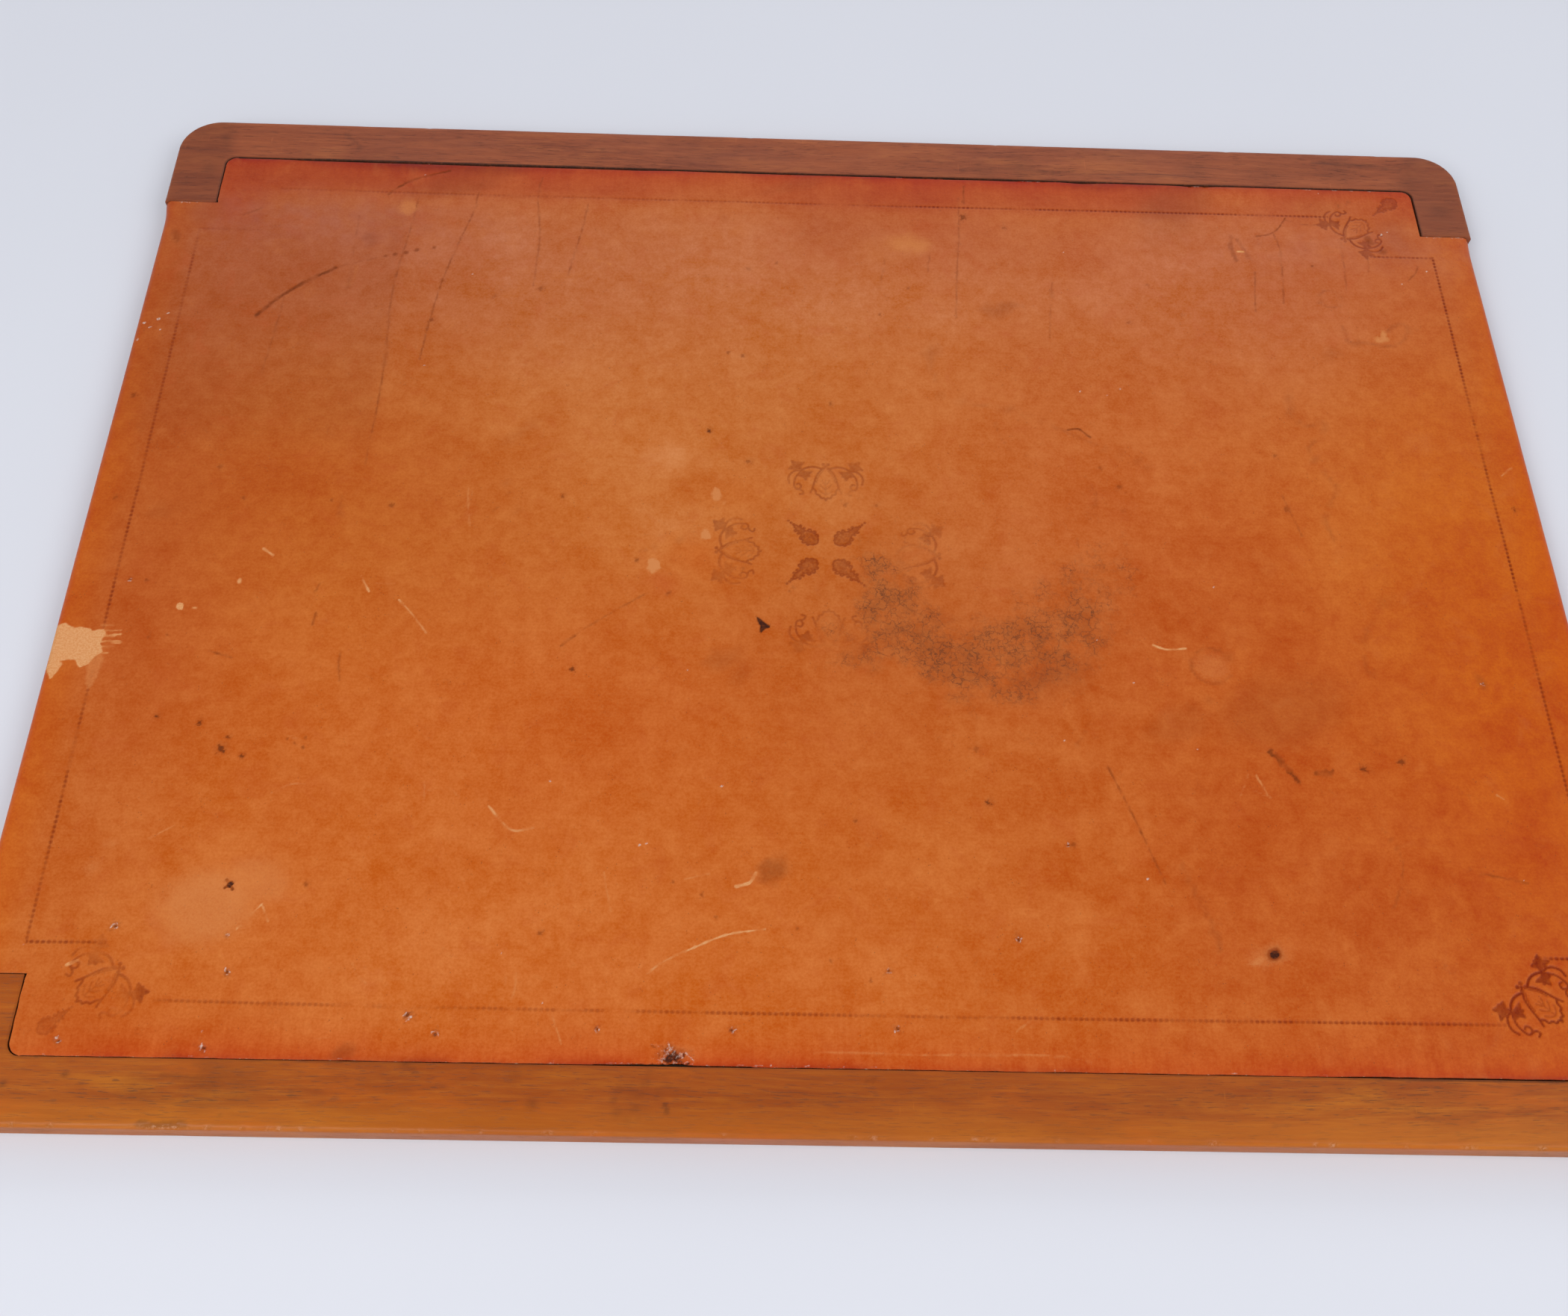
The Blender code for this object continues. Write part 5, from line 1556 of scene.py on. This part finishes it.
# nicks in the outer arris: x, half width, depth
FRONT_NICKS = [
    (-379,12,1.5), (-372,5,.7), (-352,2.0,.5), (-332,1.6,.45), (-312,1.8,.4), (-300,1.4,.3),
    (-318,1.5,.35), (-247,1.6,.3), (-232,1.5,.3), (-198,1.4,.3), (-134,2.0,.4), (-60,1.6,.3),
    (14,2.6,.5), (26,3.5,.4), (84,2.0,.5), (92,3.0,.4), (131,1.5,.3), (184,1.6,.35), (221,2.6,.7),
    (224,2.0,.4), (281,1.6,.35), (291,2.2,.55), (334,1.5,.3), (413,2.6,.5), (448,1.8,.4),
    (-441,1.8,.4), (-462,2.2,.35), (-160,3.0,.35), (60,1.4,.3), (370,4.0,.3),
]
REAR_NICKS = [(-505,3,.4), (-320,2.0,.35), (-60,2.2,.3), (140,1.8,.3), (330,2.4,.35), (455,2.0,.3)]
# dents and stains on top: x, y, radius, depth, darkness
FRONT_DENTS = [
    (20,-377,150,0,.13), (60,-360,60,0,.10), (-438,-367,1.8,.3,.8), (-472,-373,2.0,.25,.6),
    (-170,-380,3.4,.15,.55), (-346,-389,1.6,.2,.5), (-395,-372,12,0,.18), (-355,-368,16,0,.30),
    (-340,-372,14,0,.25), (-112,-376,13,0,.24), (-88,-366,9,0,.24), (-120,-371,3.4,0,.40),
    (-123,-377,3.2,0,.46), (-121,-384,3.6,0,.50), (-115,-388,3.2,0,.40), (-104,-361,3.0,0,.34),
    (-106,-367,3.6,0,.42), (-109,-374,3.8,0,.46), (-111,-381,3.8,0,.48), (-109,-387,3.0,0,.34),
    (-98,-374,4.0,0,.30), (26,-364,1.6,.1,.45), (-20,-370,20,0,.16), (0,-380,26,0,.12),
    (-182,-364,5,0,.3), (-245,-358,3,.05,.5), (200,-366,30,0,.10), (120,-388,40,0,.10),
    (-36,-370,1.4,.1,.3),
]
REAR_DENTS = [
    (-383,384,2.6,.05,.3), (-377,378,2.4,.05,.35), (-372,371,2.4,.05,.35), (-480,378,3.5,0,.35),
    (-487,344,6,0,.3), (130,365,10,0,.25), (160,372,12,0,.22), (420,384,14,0,.30),
    (360,370,18,0,.16), (470,366,9,0,.25), (495,335,8,0,.28), (300,374,12,0,.25),
    (-100,384,30,0,.10), (66,372,1.5,.1,.3), (346,368,1.5,.1,.4),
]
# dark strokes on top: width, darkness, then points as x,y
FRONT_STROKES = [
    (3.0, .30, -384,-367, -360,-368, -338,-366), (1.6, .5, 22,-364, 28,-362),
    (1.4, .3, -60,-389, -54,-387), (3.0, .75, -93.5,-379, -92.5,-383.5),
    (2.4, .40, -96,-362, -88,-361, -82,-364), (2.4, .30, -99,-370, -91,-368),
    (4.4, .62, -391,-394.6, -380,-395.2, -366,-394.4), (3.0, .75, -388,-396.6, -372,-396.8),
    (1.2, .22, 300,-366, 330,-372, 352,-380), (3.0, .4, -245,-359, -240,-362),
]
REAR_STROKES = [
    (2.0, .30, -386,386, -378,379, -370,370), (3.0, .30, 110,366, 150,369, 190,366),
    (4.0, .28, 400,386, 440,384, 470,380), (2.0, .22, -60,372, -20,374),
]

front_mesh = rail_mesh(
    "front_rail_worn.001", side=-1, step=0.0015, seed=900, nicks=FRONT_NICKS, dents=FRONT_DENTS,
    strokes=FRONT_STROKES, top_rows=26, lip=(0.10, 0.0, 0.6, 300, 340, 430, 450))
front_mesh.materials.append(walnut_material(
    "walnut_front", light=(0.525, 0.152, 0.010), mid=(0.402, 0.090, 0.005),
    deep=(0.272, 0.052, 0.003), pore=(0.120, 0.042, 0.014), gloss=0.40, flecks=0.72, seed=1.0,
    ends_dark=0.0, front=True))
rear_mesh = rail_mesh(
    "rear_rail_worn.001", side=1, step=0.0018, seed=950, nicks=REAR_NICKS, dents=REAR_DENTS,
    strokes=REAR_STROKES, top_rows=16, lip=(0.30, 0.2, 0.55, -430, -400, -160, -120))
rear_mesh.materials.append(walnut_material(
    "walnut_rear", light=(0.42, 0.112, 0.036), mid=(0.325, 0.076, 0.022),
    deep=(0.215, 0.045, 0.014), pore=(0.085, 0.022, 0.012), gloss=0.44, flecks=0.58, seed=4.0,
    ends_dark=0.30, front=False))
add_piece(front_mesh, "front_rail")
add_piece(rear_mesh, "rear_rail")


# ====================================================== boards, joints, tacks
def softwood_material(name, light, deep, seed, has_dirt_and_gap_shade):
    """Aged pine or beech: broad soft rings with harder red lines."""
    dirt_and_gap_shade = (0.022, 0.014, 0.010)
    mat = Shader(name)
    place = mat.place()
    pos = mat.vector("ADD", place, (seed * 0.77, seed * 0.41, seed * 0.13))
    bend = mat.noise(pos, stretch=(1.6, 4.0, 4.0), detail=3, rough=0.5, output="Color")
    bent = mat.vector("ADD", pos, mat.vector("MULTIPLY", bend, (0.0, 0.045, 0.02)))
    growth = mat.noise(bent, stretch=(0.9, 130.0, 60.0), detail=3, rough=0.5)
    fibre = mat.noise(pos, stretch=(26.0, 1500.0, 1500.0), detail=3, rough=0.6)
    mottled = mat.noise(pos, stretch=(8.0, 22.0, 22.0), detail=4, rough=0.6)
    colour = mat.mix(mat.span(growth, over=(0.46, 0.64)), light, deep)
    colour = mat.mix(mat.span(fibre, over=(0.3, 0.7), to=(0.0, 0.25)), colour, deep)
    colour = mat.mix(mat.span(mottled, over=(0.55, 0.3), to=(0.0, 0.45)), colour, tint(deep, 0.55))
    if has_dirt_and_gap_shade:
        # the strip seen through the gap along each rail is darkened: old dirt and polish, with
        # painted shade at the bottom of the gap
        parts = mat.xyz(place)
        out_y, out_x = mat.math("ABSOLUTE", parts["Y"]), mat.math("ABSOLUTE", parts["X"])
        by_return = mat.mul(mat.span(out_y, over=(RETURN_Y - 0.006, RETURN_Y - 0.003)),
                            mat.span(out_x, over=(RETURN_X - 0.008, RETURN_X - 0.004)))
        by_rail = mat.span(out_y, over=(INNER_Y - 0.0075, INNER_Y - 0.0042))
        colour = mat.mix(mat.math("MAXIMUM", by_rail, by_return), colour, dirt_and_gap_shade, strength=0.93)
    mat.set("Base Color", colour)
    mat.set("Roughness", mat.span(fibre, over=(0.3, 0.7), to=(0.62, 0.82)))
    mat.set("Specular IOR Level", 0.3)
    mat.bump(mat.add(mat.mul(fibre, 0.6), growth, weight=0.5), distance=0.00015, strength=0.8)
    return mat.material


def steel_material():
    blue, grey, rust_brown = (0.045, 0.050, 0.075), (0.12, 0.12, 0.13), (0.16, 0.055, 0.020)
    mat = Shader("blued_tack_steel")
    pos = mat.place()
    heat = mat.noise(pos, scale=300, detail=3, rough=0.6)
    rust = mat.noise(pos, shift=(2, 3, 1), scale=520, detail=4, rough=0.65)
    rusty = mat.span(rust, over=(0.56, 0.70))
    steel_colour = mat.mix(mat.span(heat, over=(0.3, 0.7)), blue, grey)
    mat.set("Base Color", mat.mix(rusty, steel_colour, rust_brown))
    mat.set("Metallic", mat.span(rusty, over=(0.0, 1.0), to=(1.0, 0.1)))
    mat.set("Roughness", mat.add(mat.span(heat, over=(0.3, 0.7), to=(0.32, 0.48)), rusty,
                                 weight=0.35, clamp=True))
    mat.bump(rust, distance=0.00008, strength=0.7)
    return mat.material


steel = steel_material()
beech = softwood_material("planed_beech", light=(0.52, 0.31, 0.17), deep=(0.38, 0.20, 0.10),
                          seed=9.0, has_dirt_and_gap_shade=False)
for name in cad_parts:
    piece = bpy.data.objects.get(name)
    if piece is None or piece.type != "MESH":
        continue
    if name.startswith("ground_board"):
        number = int(name[-1])
        material = softwood_material("aged_pine_%d" % number, light=(0.50, 0.33, 0.17),
                                     deep=(0.34, 0.165, 0.065), seed=2.0 * number, has_dirt_and_gap_shade=True)
    elif "tongue" in name:
        material = beech
    elif name.startswith("tack"):
        material = steel
    else:
        continue
    if piece.material_slots:
        for slot in piece.material_slots:
            slot.material = material
    else:
        piece.data.materials.append(material)


# ================================================================== studio
def floor_material():
    mat = Shader("studio_floor")
    pos = mat.place()
    grey, pale_grey = (0.70, 0.71, 0.755), (0.725, 0.735, 0.78)
    mat.set("Base Color", mat.mix(mat.noise(pos, scale=3.0, detail=3, rough=0.5), grey, pale_grey))
    mat.set("Roughness", 0.85)
    mat.set("Specular IOR Level", 0.15)
    # far out, beyond the softboxes' reach, the sweep stays as pale as near by
    mat.set("Emission Color", (0.92, 0.94, 1.0))
    far = mat.vector("LENGTH", pos, output="Value")
    mat.set("Emission Strength", mat.span(far, over=(1.5, 3.4), to=(0.0, 0.30)))
    return mat.material


bpy.ops.mesh.primitive_circle_add(vertices=96, radius=14.0, fill_type="NGON",
                                  location=(0, 0, -0.0004))
floor = bpy.context.object
floor.name = "studio_floor"
floor.data.materials.append(floor_material())


def studio_world():
    """A pale sky, dimmer overhead."""
    world = bpy.data.worlds.new("studio")
    bpy.context.scene.world = world
    world.use_nodes = True
    nodes, links = world.node_tree.nodes, world.node_tree.links
    background = nodes["Background"]
    place = nodes.new("ShaderNodeTexCoord")
    parts = nodes.new("ShaderNodeSeparateXYZ")
    ramp = nodes.new("ShaderNodeValToRGB")
    links.new(place.outputs["Generated"], parts.inputs[0])
    links.new(parts.outputs["Z"], ramp.inputs[0])
    links.new(ramp.outputs[0], background.inputs[0])
    stops = ramp.color_ramp.elements
    stops[0].position = 0.0
    stops[0].color = (0.70, 0.72, 0.79, 1)
    stops[1].position = 0.95
    stops[1].color = (0.30, 0.31, 0.34, 1)
    stops.new(0.62).color = (0.66, 0.68, 0.74, 1)
    background.inputs["Strength"].default_value = 0.81


def softbox(name, place, aim, size, power):
    light = bpy.data.lights.new(name, "AREA")
    light.shape = "RECTANGLE"
    light.size, light.size_y = size
    light.energy = power
    lamp = bpy.data.objects.new(name, light)
    lamp.location = place
    lamp.rotation_euler = (Vector(aim) - Vector(place)).to_track_quat("-Z", "Y").to_euler()
    bpy.context.scene.collection.objects.link(lamp)


studio_world()
softbox("key", place=(-1.5, -1.7, 2.3), aim=(0, 0, 0), size=(1.8, 1.6), power=48)
softbox("fill", place=(1.9, -0.9, 2.2), aim=(0.1, 0, 0), size=(1.6, 1.6), power=28)
softbox("back", place=(0.2, 2.6, 1.5), aim=(0, 0.1, 0), size=(3.2, 1.2), power=16)

scene = bpy.context.scene
scene.view_settings.view_transform = "Standard"
scene.view_settings.look = "None"

# ================================================================== camera
CAMERA_PLACE = (-0.05084981, -0.57913414, 0.90915984 + HIDE_TOP)
camera_data = bpy.data.cameras.new("camera")
camera = bpy.data.objects.new("camera", camera_data)
scene.collection.objects.link(camera)
camera_data.sensor_fit = "HORIZONTAL"
camera_data.sensor_width = 36.0
camera_data.lens = 35.67
right = Vector((0.99950938, 0.00908745, 0.0299736)).normalized()
ahead = Vector((0.02200348, 0.47732507, -0.87845127)).normalized()
turned = Matrix((right, right.cross(ahead), -ahead)).transposed()
camera.matrix_world = Matrix.Translation(CAMERA_PLACE) @ turned.to_4x4()
scene.camera = camera
